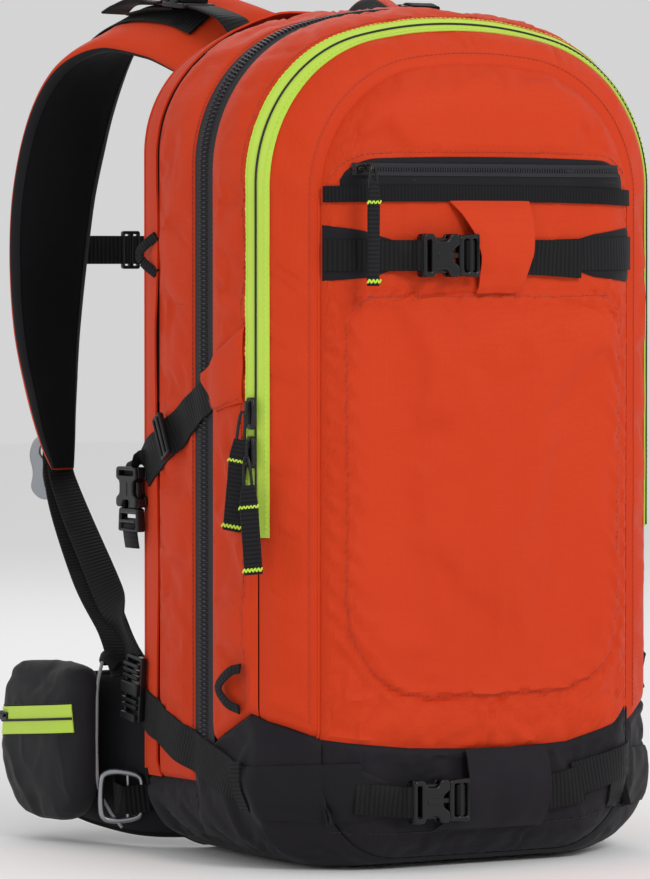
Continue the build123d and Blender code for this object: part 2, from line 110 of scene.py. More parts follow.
def cloth_material(name, dark, light, pitch_mm, grid_mm, grid_depth_mm, plane=None, **values):
    """Woven cloth: a fine weave and, at grid_mm, ripstop yarns.

    The pattern follows UVs measured in metres, or for swollen pads the two axes in plane.
    """
    material, tree, shader = new_material(name, **values)
    uv = add_node(tree, "ShaderNodeTexCoord").outputs["UV"]
    if plane:
        split = add_node(tree, "ShaderNodeSeparateXYZ",
                         {"Vector": add_node(tree, "ShaderNodeTexCoord").outputs["Object"]})
        uv = add_node(tree, "ShaderNodeCombineXYZ",
                      {"X": split.outputs[plane[0]], "Y": split.outputs[plane[1]]}).outputs[0]
    place = add_node(tree, "ShaderNodeTexCoord").outputs["Object"]
    mottle(tree, shader, dark, light, 9.0, place)
    weave = add_node(
        tree, "ShaderNodeTexBrick",
        {"Vector": uv, "Scale": 1000 / pitch_mm, "Mortar Size": 0.22, "Mortar Smooth": 1.0,
         "Brick Width": 1.0, "Row Height": 1.0},
        offset=0.5,
    )
    fine = add_node(
        tree, "ShaderNodeBump", {"Height": weave.outputs["Fac"], "Distance": 0.05 * MM, "Strength": 0.6},
        invert=True
    )
    grid = add_node(
        tree, "ShaderNodeTexBrick",
        {"Vector": uv, "Scale": 1000 / grid_mm, "Mortar Size": 0.06, "Mortar Smooth": 0.6,
         "Brick Width": 1.0, "Row Height": 1.0},
        offset=0.0,
    )
    bump = add_node(
        tree, "ShaderNodeBump",
        {"Height": grid.outputs["Fac"], "Distance": grid_depth_mm * MM, "Strength": 0.5,
         "Normal": fine.outputs["Normal"]},
    )
    tree.links.new(bump.outputs["Normal"], shader.inputs["Normal"])
    return material


def webbing_material(name, dark, light, rib_mm, **values):
    """Webbing: ribs run across the strap, one every rib_mm, with a faint twill along it; painted shade
    darkens the valleys between ribs and a painted highlight lightens their crests.
    """
    material, tree, shader = new_material(name, **values)
    uv = add_node(tree, "ShaderNodeTexCoord").outputs["UV"]
    rib = add_node(
        tree, "ShaderNodeTexWave", {"Vector": uv, "Scale": 1000 / rib_mm / 20 * math.pi, "Distortion": 0.0},
        bands_direction="X",
    )
    twill = add_node(
        tree, "ShaderNodeTexBrick",
        {"Vector": uv, "Scale": 1000 / rib_mm, "Mortar Size": 0.2, "Mortar Smooth": 1.0,
         "Brick Width": 0.5, "Row Height": 1.0},
    )
    # Painted shade and highlight: the colour follows the rib bump, dark in the valleys between ribs and light
    # on their crests.
    painted_rib_shade = add_node(tree, "ShaderNodeMix", {"Factor": rib.outputs["Fac"]}, data_type="RGBA")
    painted_rib_shade.inputs["A"].default_value = linear(dark)
    painted_rib_shade.inputs["B"].default_value = linear(light)
    tree.links.new(painted_rib_shade.outputs["Result"], shader.inputs["Base Color"])
    first = add_node(tree, "ShaderNodeBump",
                     {"Height": rib.outputs["Fac"], "Distance": 0.35 * MM, "Strength": 0.7})
    second = add_node(
        tree, "ShaderNodeBump",
        {"Height": twill.outputs["Fac"], "Distance": 0.1 * MM, "Strength": 0.5,
         "Normal": first.outputs["Normal"]},
        invert=True,
    )
    tree.links.new(second.outputs["Normal"], shader.inputs["Normal"])
    return material


def moulded_material(name, dark, light, grain_mm, depth_mm, **values):
    """A moulded, cast or brushed surface with a fine grain on object coordinates."""
    material, tree, shader = new_material(name, **values)
    place = add_node(tree, "ShaderNodeTexCoord").outputs["Object"]
    mottle(tree, shader, dark, light, 60.0, place)
    grain = add_node(tree, "ShaderNodeTexNoise", {"Vector": place, "Scale": 1000 / grain_mm, "Detail": 3.0})
    bump = add_node(tree, "ShaderNodeBump",
                    {"Height": grain.outputs["Fac"], "Distance": depth_mm * MM, "Strength": 0.5})
    tree.links.new(bump.outputs["Normal"], shader.inputs["Normal"])
    return material


# %% The finishes
# Coated ripstop nylon, solution dyed orange: soft sheen, low contrast weave. Threads are
# 0.3 mm apart on the real cloth and are drawn at 0.9 mm so that they show.
ORANGE = cloth_material("ripstop_nylon_orange", "#C83610", "#D23F16", 0.9, 5.0, 0.12,
                        Roughness=0.6, Sheen_Weight=0.04, Sheen_Roughness=0.45, Specular_IOR_Level=0.16)
# Ballistic pack cloth of the base, black with a slightly violet cast.
BLACK_CLOTH = cloth_material("pack_cloth_black", "#1A181C", "#222025", 1.2, 8.0, 0.05,
                             Roughness=0.62, Sheen_Weight=0.05, Sheen_Roughness=0.5, Specular_IOR_Level=0.12)
PATCH_CLOTH = cloth_material("pack_cloth_patch", "#171619", "#1E1D20", 1.0, 6.0, 0.05,
                             Roughness=0.6, Sheen_Weight=0.05, Sheen_Roughness=0.5, Specular_IOR_Level=0.12)
# Spacer mesh against the wearer: matt, open knitted face.
MESH_CLOTH = cloth_material("spacer_mesh_black", "#0E0E10", "#161618", 2.2, 9.0, 0.1,
                            Roughness=0.85, Sheen_Weight=0.03, Specular_IOR_Level=0.08)
SIDE_CLOTH = cloth_material("pack_cloth_hip", "#19181B", "#222125", 1.1, 7.0, 0.05, plane="YZ",
                            Roughness=0.62, Sheen_Weight=0.06, Sheen_Roughness=0.5, Specular_IOR_Level=0.12)
PAD_MESH = cloth_material("spacer_mesh_pad", "#18181A", "#242427", 2.4, 9.0, 0.15, plane="XZ",
                          Roughness=0.85, Sheen_Weight=0.03, Specular_IOR_Level=0.08)
# Airbag cloth: tightly woven, silicone coated nylon. Frame sheet: extruded polyethylene.
AIRBAG_CLOTH = cloth_material("airbag_nylon_red", "#B5302A", "#C23A30", 0.9, 6.0, 0.03, plane="XZ",
                              Roughness=0.5)
DARK_TAPE = cloth_material("zipper_tape_charcoal", "#222126", "#2B2A2F", 0.8, 6.0, 0.02,
                           Roughness=0.7, Sheen_Weight=0.04, Specular_IOR_Level=0.3)
LIME_TAPE = cloth_material("zipper_tape_lime", "#B9DA48", "#C6E45A", 0.9, 6.0, 0.02,
                           Roughness=0.65, Sheen_Weight=0.04, Specular_IOR_Level=0.35)
WEBBING = webbing_material("polypropylene_webbing_black", "#0B0B0C", "#19191B", 1.6,
                           Roughness=0.6, Sheen_Weight=0.03, Specular_IOR_Level=0.16)
GREY_WEBBING = webbing_material("nylon_webbing_charcoal", "#121214", "#202023", 1.4,
                                Roughness=0.65, Sheen_Weight=0.03, Specular_IOR_Level=0.14)
BINDING = webbing_material("grosgrain_binding_black", "#101012", "#1B1B1E", 1.2,
                           Roughness=0.65, Specular_IOR_Level=0.14)
PIPING = webbing_material("reflective_piping_grey", "#9B9A9E", "#B4B3B6", 1.5, Roughness=0.5)
# Acetal buckles: satin, moulded in a lightly textured tool.
ACETAL = moulded_material("acetal_black", "#101113", "#151618", 0.6, 0.02, Roughness=0.3,
                          Specular_IOR_Level=0.34)
TOOTH = moulded_material("moulded_zip_teeth", "#26252A", "#312F35", 0.5, 0.02, Roughness=0.42,
                         Specular_IOR_Level=0.3)
SHEET_PLASTIC = moulded_material("polyethylene_sheet", "#2C2D30", "#333438", 1.0, 0.03, Roughness=0.42)
BLACK_METAL = moulded_material("black_painted_zinc", "#121214", "#1B1B1D", 0.4, 0.01, Roughness=0.28,
                               Metallic=0.3)
SILVER = moulded_material("satin_aluminium", "#8B8E93", "#A2A5A9", 0.5, 0.01, Roughness=0.3, Metallic=1.0)
BRASS_TOOTH = moulded_material("brass_zip_teeth", "#B99A4A", "#CDB06A", 0.5, 0.01, Roughness=0.35,
                               Metallic=1.0)
LIME_THREAD = moulded_material("polyester_thread_lime", "#B8DE2E", "#CDEB4A", 0.4, 0.02, Roughness=0.6)
ORANGE_THREAD = moulded_material("polyester_thread_orange", "#A62F18", "#B93B20", 0.4, 0.02, Roughness=0.6)
BLACK_THREAD = moulded_material("polyester_thread_black", "#101012", "#1A1A1C", 0.4, 0.02, Roughness=0.6)
print("materials", len(bpy.data.materials))

# %% [markdown]
# ## Ways to make a sewn piece
# Four shapes make up nearly everything on a pack: a cut panel that follows a curved surface,
# a strip of webbing, a moulded plate with holes, and a row of stitches. Each has one helper.
# A panel starts as a grid primitive whose points are laid on the surface, because no chain of
# extrusions gives a skin that is smooth in both directions.
# %% Helpers for meshes


def finish_piece(piece, body, material=None, replaced=()):
    """Gives a piece its material, rests it on the ground, and says what it rides on and stands for."""
    if material is not None:
        piece.data.materials.clear()
        piece.data.materials.append(material)
    for vertex in piece.data.vertices:
        vertex.co.z = max(vertex.co.z, GROUND)
    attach(piece, body)
    if replaced:
        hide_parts(*replaced)
    return piece


def only(piece):
    """Selects one object alone and makes it active."""
    bpy.ops.object.select_all(action="DESELECT")
    piece.select_set(True)
    bpy.context.view_layer.objects.active = piece


def apply_modifier(piece, kind, **settings):
    """Adds a modifier, sets it, and applies it."""
    only(piece)
    modifier = piece.modifiers.new(kind.title(), kind)
    for name, value in settings.items():
        setattr(modifier, name, value)
    bpy.ops.object.modifier_apply(modifier=modifier.name)


def from_grid(name, points):
    """A mesh object from a (rows, columns, 3) array in millimetres, with UVs in metres."""
    rows, columns = points.shape[:2]
    bpy.ops.object.select_all(action="DESELECT")
    bpy.ops.mesh.primitive_grid_add(x_subdivisions=columns - 1, y_subdivisions=rows - 1, size=2)
    piece = bpy.context.active_object
    piece.name = piece.data.name = name
    mesh = piece.data
    flat = np.empty(len(mesh.vertices) * 3)
    mesh.vertices.foreach_get("co", flat)
    flat = flat.reshape(-1, 3)
    column = np.rint((flat[:, 0] + 1) / 2 * (columns - 1)).astype(int)
    row = np.rint((flat[:, 1] + 1) / 2 * (rows - 1)).astype(int)
    mesh.vertices.foreach_set("co", (points[row, column] * MM).ravel())
    along = np.zeros((rows, columns))
    along[:, 1:] = np.cumsum(np.linalg.norm(np.diff(points, axis=1), axis=2), axis=1)
    along -= along[:, columns // 2:columns // 2 + 1]
    up = np.zeros((rows, columns))
    up[1:] = np.cumsum(np.linalg.norm(np.diff(points, axis=0), axis=2), axis=0)
    corner = np.empty(len(mesh.loops), dtype=int)
    mesh.loops.foreach_get("vertex_index", corner)
    uv = np.stack([along[row[corner], column[corner]], up[row[corner], column[corner]]], 1) * MM
    mesh.uv_layers[0].data.foreach_set("uv", uv.ravel())
    mesh.update()
    return piece


def face_away(piece, inside):
    """Turns the faces of an open sheet so that they point away from a place in millimetres."""
    middle = Vector(inside) * MM
    turned = sum(face.area * (face.center - middle).normalized().dot(face.normal)
                 for face in piece.data.polygons)
    if turned < 0:
        piece.data.flip_normals()


def smooth(piece, degrees=40):
    only(piece)
    bpy.ops.object.shade_smooth_by_angle(angle=math.radians(degrees))


def relaxed(piece, pinned, spare, pressure, cap, frames=16):
    """Lets a panel that is held at its seams crease as cloth: it is cut a little too large.

    pinned is 1 where a seam holds a point and 0 where it is free; cap, in millimetres, is the
    most that a point may move, one number or one for each point.
    """
    rest = np.empty(len(piece.data.vertices) * 3)
    piece.data.vertices.foreach_get("co", rest)
    only(piece)
    group = piece.vertex_groups.new(name="seam")
    for weight in (0.25, 0.5, 0.75, 1.0):
        chosen = np.nonzero(np.abs(pinned - weight) < 0.125)[0]
        group.add([int(i) for i in chosen], weight, "REPLACE")
    cloth = piece.modifiers.new("Cloth", "CLOTH")
    cloth.settings.vertex_group_mass = "seam"
    cloth.settings.mass = 0.15
    cloth.settings.shrink_min = -spare
    cloth.settings.bending_stiffness = 0.35
    cloth.settings.use_pressure = True
    cloth.settings.uniform_pressure_force = pressure
    cloth.settings.effector_weights.gravity = 0
    cloth.settings.quality = 4
    for frame_number in range(1, frames + 1):
        bpy.context.scene.frame_set(frame_number)
    view = piece.evaluated_get(bpy.context.evaluated_depsgraph_get())
    moved = np.empty_like(rest)
    view.data.vertices.foreach_get("co", moved)
    piece.modifiers.remove(cloth)
    piece.vertex_groups.clear()
    bpy.context.scene.frame_set(1)
    shift = (moved - rest).reshape(-1, 3)
    length = np.linalg.norm(shift, axis=1, keepdims=True)
    most = np.broadcast_to(np.asarray(cap, float).reshape(-1, 1), length.shape) * MM
    shift *= most * np.tanh(length / np.maximum(most, 1e-9)) / np.maximum(length, 1e-9)
    piece.data.vertices.foreach_set("co", (rest.reshape(-1, 3) + shift).ravel())
    piece.data.update()
    print(piece.name, "creased by up to", round(float(length.max() / MM), 1), "mm")


def panel(name, points, body, material, thick=1.2, inside=(0, 7, 280), replaced=(), grow=0, held=None,
          spare=0.03, pressure=1.0, cap=3.0):
    """A cut cloth panel on a surface, with its thickness turned inward.

    held, one number a point, says where seams hold it; the rest then creases by simulation.
    """
    piece = from_grid(name, points)
    face_away(piece, inside)
    if held is not None:
        place = np.empty(len(piece.data.vertices) * 3)
        piece.data.vertices.foreach_get("co", place)
        wanted = (points * MM).reshape(-1, 3).astype(np.float32)
        order = np.lexsort(wanted.T)
        found = np.lexsort(place.reshape(-1, 3).astype(np.float32).T)
        pins = np.empty(len(order))
        caps = np.empty(len(order))
        pins[found] = np.asarray(held, float).ravel()[order]
        caps[found] = np.broadcast_to(np.asarray(cap, float), points.shape[:2]).ravel()[order]
        relaxed(piece, pins, spare, pressure, caps)
    apply_modifier(piece, "SOLIDIFY", thickness=thick * MM, offset=-1.0, use_even_offset=False)
    if grow:
        apply_modifier(piece, "SUBSURF", levels=grow, render_levels=grow)
    smooth(piece, 50)
    return finish_piece(piece, body, material, replaced)


def curve_points(points, count):
    """Points evenly spaced along a smooth curve through given ones."""
    p = np.array(points, float)
    p = np.vstack([2 * p[0] - p[1], p, 2 * p[-1] - p[-2]])
    dense = []
    for i in range(1, len(p) - 2):
        t = np.linspace(0, 1, 24, endpoint=False)[:, None]
        a, b, c, d = p[i - 1], p[i], p[i + 1], p[i + 2]
        dense.append(0.5 * (2 * b + (c - a) * t + (2 * a - 5 * b + 4 * c - d) * t**2
                            + (3 * b - a - 3 * c + d) * t**3))
    dense = np.vstack(dense + [p[-2][None]])
    length = np.concatenate([[0], np.cumsum(np.linalg.norm(np.diff(dense[:, :3], axis=0), axis=1))])
    where = np.linspace(0, length[-1], count)
    return np.stack([np.interp(where, length, dense[:, k]) for k in range(dense.shape[1])], 1)


def unit(v):
    return v / np.maximum(np.linalg.norm(v, axis=-1, keepdims=True), 1e-9)


def spread(value, count):
    """One number, or a few spaced evenly along a line, as a column of count numbers."""
    given = np.atleast_1d(np.asarray(value, float))
    return np.interp(np.linspace(0, 1, count), np.linspace(0, 1, len(given)), given)[:, None]


def strip(name, points, across, width, thick, material, spacing=3.0):
    """Webbing: a flat strip along a path. across is one direction or one for each point.

    width may be one number or one for each point.
    """
    p = np.array(points, float)
    side = np.broadcast_to(np.array(across, float), p.shape)
    wide = spread(width, len(p))
    run = np.sum(np.linalg.norm(np.diff(p, axis=0), axis=1))
    count = max(4, int(run / spacing))
    every = curve_points(np.hstack([p, side, wide]), count)
    centre, side, wide = every[:, :3], every[:, 3:6], every[:, 6]
    along = unit(np.gradient(centre, axis=0))
    side = unit(side - along * np.sum(side * along, 1, keepdims=True))
    out = np.cross(along, side)
    edge = min(0.35 * thick, 0.6)
    ring = [(-0.5, -0.5 * thick + edge), (-0.5, 0.5 * thick - edge), (-0.5, 0.5 * thick), (0, 0.5 * thick),
            (0.5, 0.5 * thick), (0.5, 0.5 * thick - edge), (0.5, -0.5 * thick + edge), (0.5, -0.5 * thick),
            (0, -0.5 * thick), (-0.5, -0.5 * thick)]
    inset = [0, 0, edge, 0, -edge, 0, 0, -edge, 0, edge]
    rows = [centre + side * (wide[:, None] * a + shift) + out * b for (a, b), shift in zip(ring, inset)]
    verts = np.stack(rows, 1).reshape(-1, 3)
    n = len(ring)
    faces, uvs = [], []
    length = np.concatenate([[0], np.cumsum(np.linalg.norm(np.diff(centre, axis=0), axis=1))])
    for i in range(count - 1):
        for k in range(n):
            j = (k + 1) % n
            faces.append((i * n + k, i * n + j, (i + 1) * n + j, (i + 1) * n + k))
            vk, vj = ring[k][0] * wide[i], ring[j][0] * wide[i]
            uvs += [(length[i], vk), (length[i], vj), (length[i + 1], vj), (length[i + 1], vk)]
    faces.append(tuple(range(n))[::-1])
    uvs += [(0, 0)] * n
    faces.append(tuple((count - 1) * n + k for k in range(n)))
    uvs += [(0, 0)] * n
    mesh = bpy.data.meshes.new(name)
    mesh.from_pydata((verts * MM).tolist(), [], faces)
    layer = mesh.uv_layers.new(name="UVMap")
    layer.data.foreach_set("uv", (np.array(uvs) * MM).ravel())
    piece = bpy.data.objects.new(name, mesh)
    bpy.context.scene.collection.objects.link(piece)
    outward(piece)
    smooth(piece, 45)
    piece.data.materials.append(material)
    return piece


def outward(piece):
    """Makes a closed mesh's faces point outwards."""
    only(piece)
    bpy.ops.object.mode_set(mode="EDIT")
    bpy.ops.mesh.select_all(action="SELECT")
    bpy.ops.mesh.normals_make_consistent(inside=False)
    bpy.ops.object.mode_set(mode="OBJECT")


def rounded(corners, radius, steps=5):
    """A closed outline with each corner turned into a small arc."""
    p = np.array(corners, float)
    radii = np.broadcast_to(radius, len(p))
    out = []
    for i, corner in enumerate(p):
        before, after = p[i - 1] - corner, p[(i + 1) % len(p)] - corner
        lb, la = np.linalg.norm(before), np.linalg.norm(after)
        reach = min(radii[i], 0.49 * lb, 0.49 * la)
        start, end = corner + before / lb * reach, corner + after / la * reach
        for t in np.linspace(0, 1, steps + 1):
            out.append((1 - t) ** 2 * start + 2 * t * (1 - t) * corner + t**2 * end)
    return np.array(out)


def plane_matrix(origin, x_dir, normal):
    """The placing of a flat plate: its x runs along x_dir and its thickness along normal."""
    z = Vector(normal).normalized()
    x = (Vector(x_dir) - z * Vector(x_dir).dot(z)).normalized()
    y = z.cross(x)
    turn = Matrix((x, y, z)).transposed().to_4x4()
    return Matrix.Translation(Vector(origin) * MM) @ turn


def plate(name, outlines, thick, placing, bevel=0.8, low=0.0):
    """A moulded plate from flat outlines, holes among them, with rounded edges."""
    curve = bpy.data.curves.new(name, "CURVE")
    curve.dimensions = "2D"
    curve.fill_mode = "BOTH"
    edge = min(bevel, thick / 2 - 0.05)
    curve.extrude = (thick / 2 - edge) * MM
    curve.bevel_depth = edge * MM
    curve.bevel_resolution = 2
    curve.offset = -edge * MM
    for outline in outlines:
        spline = curve.splines.new("POLY")
        spline.points.add(len(outline) - 1)
        for point, (x, y) in zip(spline.points, outline):
            point.co = (x * MM, y * MM, 0, 1)
        spline.use_cyclic_u = True
    piece = bpy.data.objects.new(name, curve)
    bpy.context.scene.collection.objects.link(piece)
    only(piece)
    bpy.ops.object.convert(target="MESH")
    piece = bpy.context.active_object
    piece.data.transform(placing @ Matrix.Translation((0, 0, (low + thick / 2) * MM)))
    smooth(piece, 35)
    return piece


def tube(name, points, radius, material, closed=False, spacing=2.5, sides=8):
    """A round cord, wire or piping along a smooth path."""
    p = np.array(points, float)
    if closed:
        p = np.vstack([p, p[:1]])
    run = np.sum(np.linalg.norm(np.diff(p, axis=0), axis=1))
    centre = curve_points(p, max(6, int(run / spacing)))
    if closed:
        centre = centre[:-1]
    curve = bpy.data.curves.new(name, "CURVE")
    curve.dimensions = "3D"
    curve.bevel_depth = radius * MM
    curve.bevel_resolution = sides // 4
    curve.use_fill_caps = not closed
    spline = curve.splines.new("POLY")
    spline.points.add(len(centre) - 1)
    spline.points.foreach_set("co", np.hstack([centre * MM, np.ones((len(centre), 1))]).ravel())
    spline.use_cyclic_u = closed
    piece = bpy.data.objects.new(name, curve)
    bpy.context.scene.collection.objects.link(piece)
    only(piece)
    bpy.ops.object.convert(target="MESH")
    piece = bpy.context.active_object
    smooth(piece, 60)
    piece.data.materials.append(material)
    return piece


def join(name, pieces):
    """Joins finished meshes into one named piece."""
    bpy.ops.object.select_all(action="DESELECT")
    for piece in pieces:
        piece.select_set(True)
    bpy.context.view_layer.objects.active = pieces[0]
    bpy.ops.object.join()
    made = bpy.context.active_object
    made.name = made.data.name = name
    return made


def repeat(name, template, placings, material):
    """Many copies of one small mesh, each with its own place, as a single piece."""
    verts, faces = template
    verts = np.array(verts, float)
    all_verts = np.vstack([verts @ turn.T + origin for origin, turn in placings])
    all_faces = [tuple(i + k * len(verts) for i in face) for k in range(len(placings)) for face in faces]
    mesh = bpy.data.meshes.new(name)
    mesh.from_pydata((all_verts * MM).tolist(), [], all_faces)
    piece = bpy.data.objects.new(name, mesh)
    bpy.context.scene.collection.objects.link(piece)
    outward(piece)
    smooth(piece, 50)
    piece.data.materials.append(material)
    return piece


def bead(length, width, height):
    """A small rounded block lying along x: a stitch or a zip tooth."""
    rings = [(-0.5, 0.55), (-0.3, 1.0), (0.3, 1.0), (0.5, 0.55)]
    verts = []
    for x, fat in rings:
        for y, z in ((-0.5, 0.0), (-0.35, 0.8), (0.35, 0.8), (0.5, 0.0)):
            verts.append((x * length, y * width * fat, z * height * fat))
    faces = [(r * 4 + k, r * 4 + k + 1, r * 4 + k + 5, r * 4 + k + 4) for r in range(3) for k in range(3)]
    faces += [(r * 4 + 3, r * 4, r * 4 + 4, r * 4 + 7) for r in range(3)]
    return verts, faces + [(3, 2, 1, 0), (12, 13, 14, 15)]


def placings_along(points, normals, pitch, slide=0.0):
    """Places every pitch millimetres along a line on a surface: x along it, z out of it."""
    both = np.hstack([points, normals])
    length = np.concatenate([[0], np.cumsum(np.linalg.norm(np.diff(points, axis=0), axis=1))])
    where = np.arange(pitch / 2 + slide, length[-1], pitch)
    at = np.stack([np.interp(where, length, both[:, k]) for k in range(6)], 1)
    ahead = np.stack([np.interp(where + 0.5, length, both[:, k]) for k in range(3)], 1)
    x = unit(ahead - at[:, :3])
    z = unit(at[:, 3:] - x * np.sum(at[:, 3:] * x, 1, keepdims=True))
    y = np.cross(z, x)
    return [(at[i, :3], np.stack([x[i], y[i], z[i]], 1)) for i in range(len(at))]


def stitches(name, points, normals, material, pitch=3.4, length=2.5, width=0.8, height=0.45):
    """A row of topstitching along a line on a surface."""
    return repeat(name, bead(length, width, height), placings_along(points, normals, pitch), material)


print("helpers ready")

# %% [markdown]
# ## The camera, the floor and the light
# The camera comes first, so that every later render is seen from the same place: a little to
# the pack's left, level with its middle, with a long lens that keeps its sides nearly parallel.
# Three large soft lights and a pale floor are what a catalogue studio has.
# %% Camera and studio
AZIMUTH, ELEVATION = math.radians(-30), math.radians(2)
back = Vector((math.sin(AZIMUTH) * math.cos(ELEVATION), -math.cos(AZIMUTH) * math.cos(ELEVATION),
               math.sin(ELEVATION)))
camera_data = bpy.data.cameras.new("Camera")
camera_data.lens = 215
camera = bpy.data.objects.new("Camera", camera_data)
bpy.context.scene.collection.objects.link(camera)
camera.location = Vector((-54.3, 31.3, 275.4)) * MM + back * 3.5
camera.rotation_euler = back.to_track_quat("Z", "Y").to_euler()
bpy.context.scene.camera = camera


def soft_light(name, place, aim, size, watts):
    data = bpy.data.lights.new(name, "AREA")
    data.shape, data.size, data.energy = "SQUARE", size, watts
    lamp = bpy.data.objects.new(name, data)
    lamp.location = place
    lamp.rotation_euler = (Vector(place) - Vector(aim)).to_track_quat("Z", "Y").to_euler()
    bpy.context.scene.collection.objects.link(lamp)


soft_light("key", (0.1, -2.5, 2.0), (0, 0, 0.3), 0.9, 30)
soft_light("fill", (2.2, -1.4, 1.2), (0, 0, 0.3), 1.6, 4)
soft_light("left", (-2.6, 0.4, 0.9), (0, 0, 0.3), 1.2, 6)
soft_light("rim", (0.6, 2.2, 2.0), (0, 0, 0.3), 1.5, 10)

world = bpy.data.worlds.new("studio")
world.use_nodes = True
world.node_tree.nodes["Background"].inputs["Color"].default_value = linear("#FFFFFF")
world.node_tree.nodes["Background"].inputs["Strength"].default_value = 0.66
bpy.context.scene.world = world
bpy.context.scene.view_settings.view_transform = "Standard"

FLOOR = moulded_material("studio_floor", "#F8F8F8", "#FAFAFA", 5.0, 0.0, Roughness=0.9)
bpy.ops.object.select_all(action="DESELECT")
bpy.ops.mesh.primitive_plane_add(size=14, location=(0, 0, -0.0015))
floor = bpy.context.active_object
floor.name = "floor"
floor.data.materials.append(FLOOR)
print("camera at", tuple(round(v, 3) for v in camera.location))

# %% [markdown]
# ## The body as one smooth surface
# The pack is five arched outlines from front to back: a crown arc, two shoulder arcs, straight
# sides, two bottom corners and a flat base. Between them the cloth runs smoothly, so the
# outlines' sizes are eased from one depth to the next. A place on this surface is a depth and
# a share of the half outline, 0 at the crown and 1 under the middle of the base.
# %% Sizes of the pack
HALF, TOP, BACK_Y, FRONT_Y = 155.0, 562.0, 104.0, -90.0
SEAM_Y, LIME_Y, MAIN_Y = -74.0, -45.0, 17.0
CROWN_R, BASE_R = 300.0, 58.0
# depth, side inset, crown drop, floor lift, shoulder radius
STATIONS = np.array([
    (FRONT_Y, 62, 70, 20, 75), (SEAM_Y, 37, 37, 4, 88), (LIME_Y, 5, 13, 0, 99), (MAIN_Y, 0, 0, 0, 100),
    (BACK_Y, 5, 6, 0, 78),
])
DEPTHS = np.arange(FRONT_Y, BACK_Y + 1)
EASE = np.hanning(17)[1:-1]
EASED = [
    np.convolve(np.pad(np.interp(DEPTHS, STATIONS[:, 0], column), 7, mode="reflect", reflect_type="odd"),
                EASE / EASE.sum(), mode="valid")
    for column in STATIONS[:, 1:].T
]


def outline(y, share):
    """x and z on the right half of the outline at depths y."""
    inset, drop, floor_z, rs = (np.interp(y, DEPTHS, column) for column in EASED)
    half, crown = HALF - inset, TOP - drop
    cz = crown - CROWN_R
    sz = cz + np.sqrt((CROWN_R - rs) ** 2 - (half - rs) ** 2)
    turn = np.arctan2(sz - cz, half - rs)
    runs = [CROWN_R * (np.pi / 2 - turn), rs * turn, sz - floor_z - BASE_R, BASE_R * np.pi / 2 + 0 * half,
            half - BASE_R]
    d = share * sum(runs)
    ends = np.cumsum(runs, axis=0)
    a = d / CROWN_R
    b = turn - (d - ends[0]) / rs
    c = (d - ends[2]) / BASE_R
    x = np.select(
        [d < ends[0], d < ends[1], d < ends[2], d < ends[3]],
        [CROWN_R * np.sin(a), half - rs + rs * np.cos(b), half + 0 * d, half - BASE_R + BASE_R * np.cos(c)],
        half - BASE_R - (d - ends[3]),
    )
    z = np.select(
        [d < ends[0], d < ends[1], d < ends[2], d < ends[3]],
        [cz + CROWN_R * np.cos(a), sz + rs * np.sin(b), sz - (d - ends[1]),
         floor_z + BASE_R - BASE_R * np.sin(c)],
        floor_z + 0 * d,
    )
    return x, z


def share_at(y, z):
    """The share of the half outline that is at height z, at depths y."""
    low, high = np.zeros(np.broadcast(y, z).shape), np.full(np.broadcast(y, z).shape, 0.88)
    for _ in range(30):
        middle = (low + high) / 2
        above = outline(y, middle)[1] > z
        low, high = np.where(above, middle, low), np.where(above, high, middle)
    return (low + high) / 2


def surface(y, share, lift=0.0):
    """Points and outward normals; a negative share is the pack's left half."""
    y, share = np.broadcast_arrays(np.asarray(y, float), np.asarray(share, float))
    hand = np.where(share < 0, -1.0, 1.0)

    def place(yy, ss):
        x, z = outline(np.clip(yy, FRONT_Y, BACK_Y), np.abs(ss))
        return np.stack([hand * x, np.clip(yy, FRONT_Y, BACK_Y), z], -1)

    p = place(y, share)
    down = place(y, hand * np.minimum(np.abs(share) + 0.002,
                                      1)) - place(y, hand * np.maximum(np.abs(share) - 0.002, 0))
    deep = place(y + 1, share) - place(y - 1, share)
    n = unit(np.cross(down, deep)) * hand[..., None]
    n = np.where(np.sum(n * (p - np.array([0, 10, 280])), -1, keepdims=True) < 0, -n, n)
    return p + n * np.asarray(lift)[..., None], n


def ripple(points, size, seed=0.0, stretch=(1, 1, 1)):
    """Smooth noise between -1 and 1 at each point, with features about size millimetres wide."""
    flat = points.reshape(-1, 3)
    scale = np.array(stretch) / size
    got = [noise.noise(Vector(p * scale) + Vector((seed, seed * 1.7, 0))) for p in flat]
    return np.array(got).reshape(points.shape[:-1])


def creases(points, seed):
    """How far cloth stands off its surface: broad swells and a few sharp pulled folds."""
    broad = ripple(points, 85, seed) * 1.5 + ripple(points, 38, seed + 5) * 0.7
    fold = 1 - np.abs(ripple(points, 55, seed + 9, (1.0, 1.0, 0.55))) * 3.2
    fine = 1 - np.abs(ripple(points, 26, seed + 13, (1.3, 1.3, 0.6))) * 3.0
    return broad + 1.5 * np.clip(fold, 0, 1) ** 2 + 0.5 * np.clip(fine, 0, 1) ** 2


BOOT_Y = [-74, -58, -38, -5, 16, 25, 104]
BOOT_Z = [86, 94, 102, 86, 74, 52, 50]


def boot_line(y):
    """Height of the seam between the orange body and the black base, on the sides."""
    return np.interp(y, BOOT_Y, BOOT_Z)


def edge_dip(v, width, depth):
    """A seam's valley: the cloth rolls in by depth within width of v = 0."""
    return -depth * np.clip(1 - v / width, 0, 1) ** 2


def seam_hold(distance):
    """How firmly a seam holds cloth at some distance from it, in quarters."""
    return np.round(4 * np.clip(1.25 - distance / 5, 0, 1)) / 4


cloth_panels = []


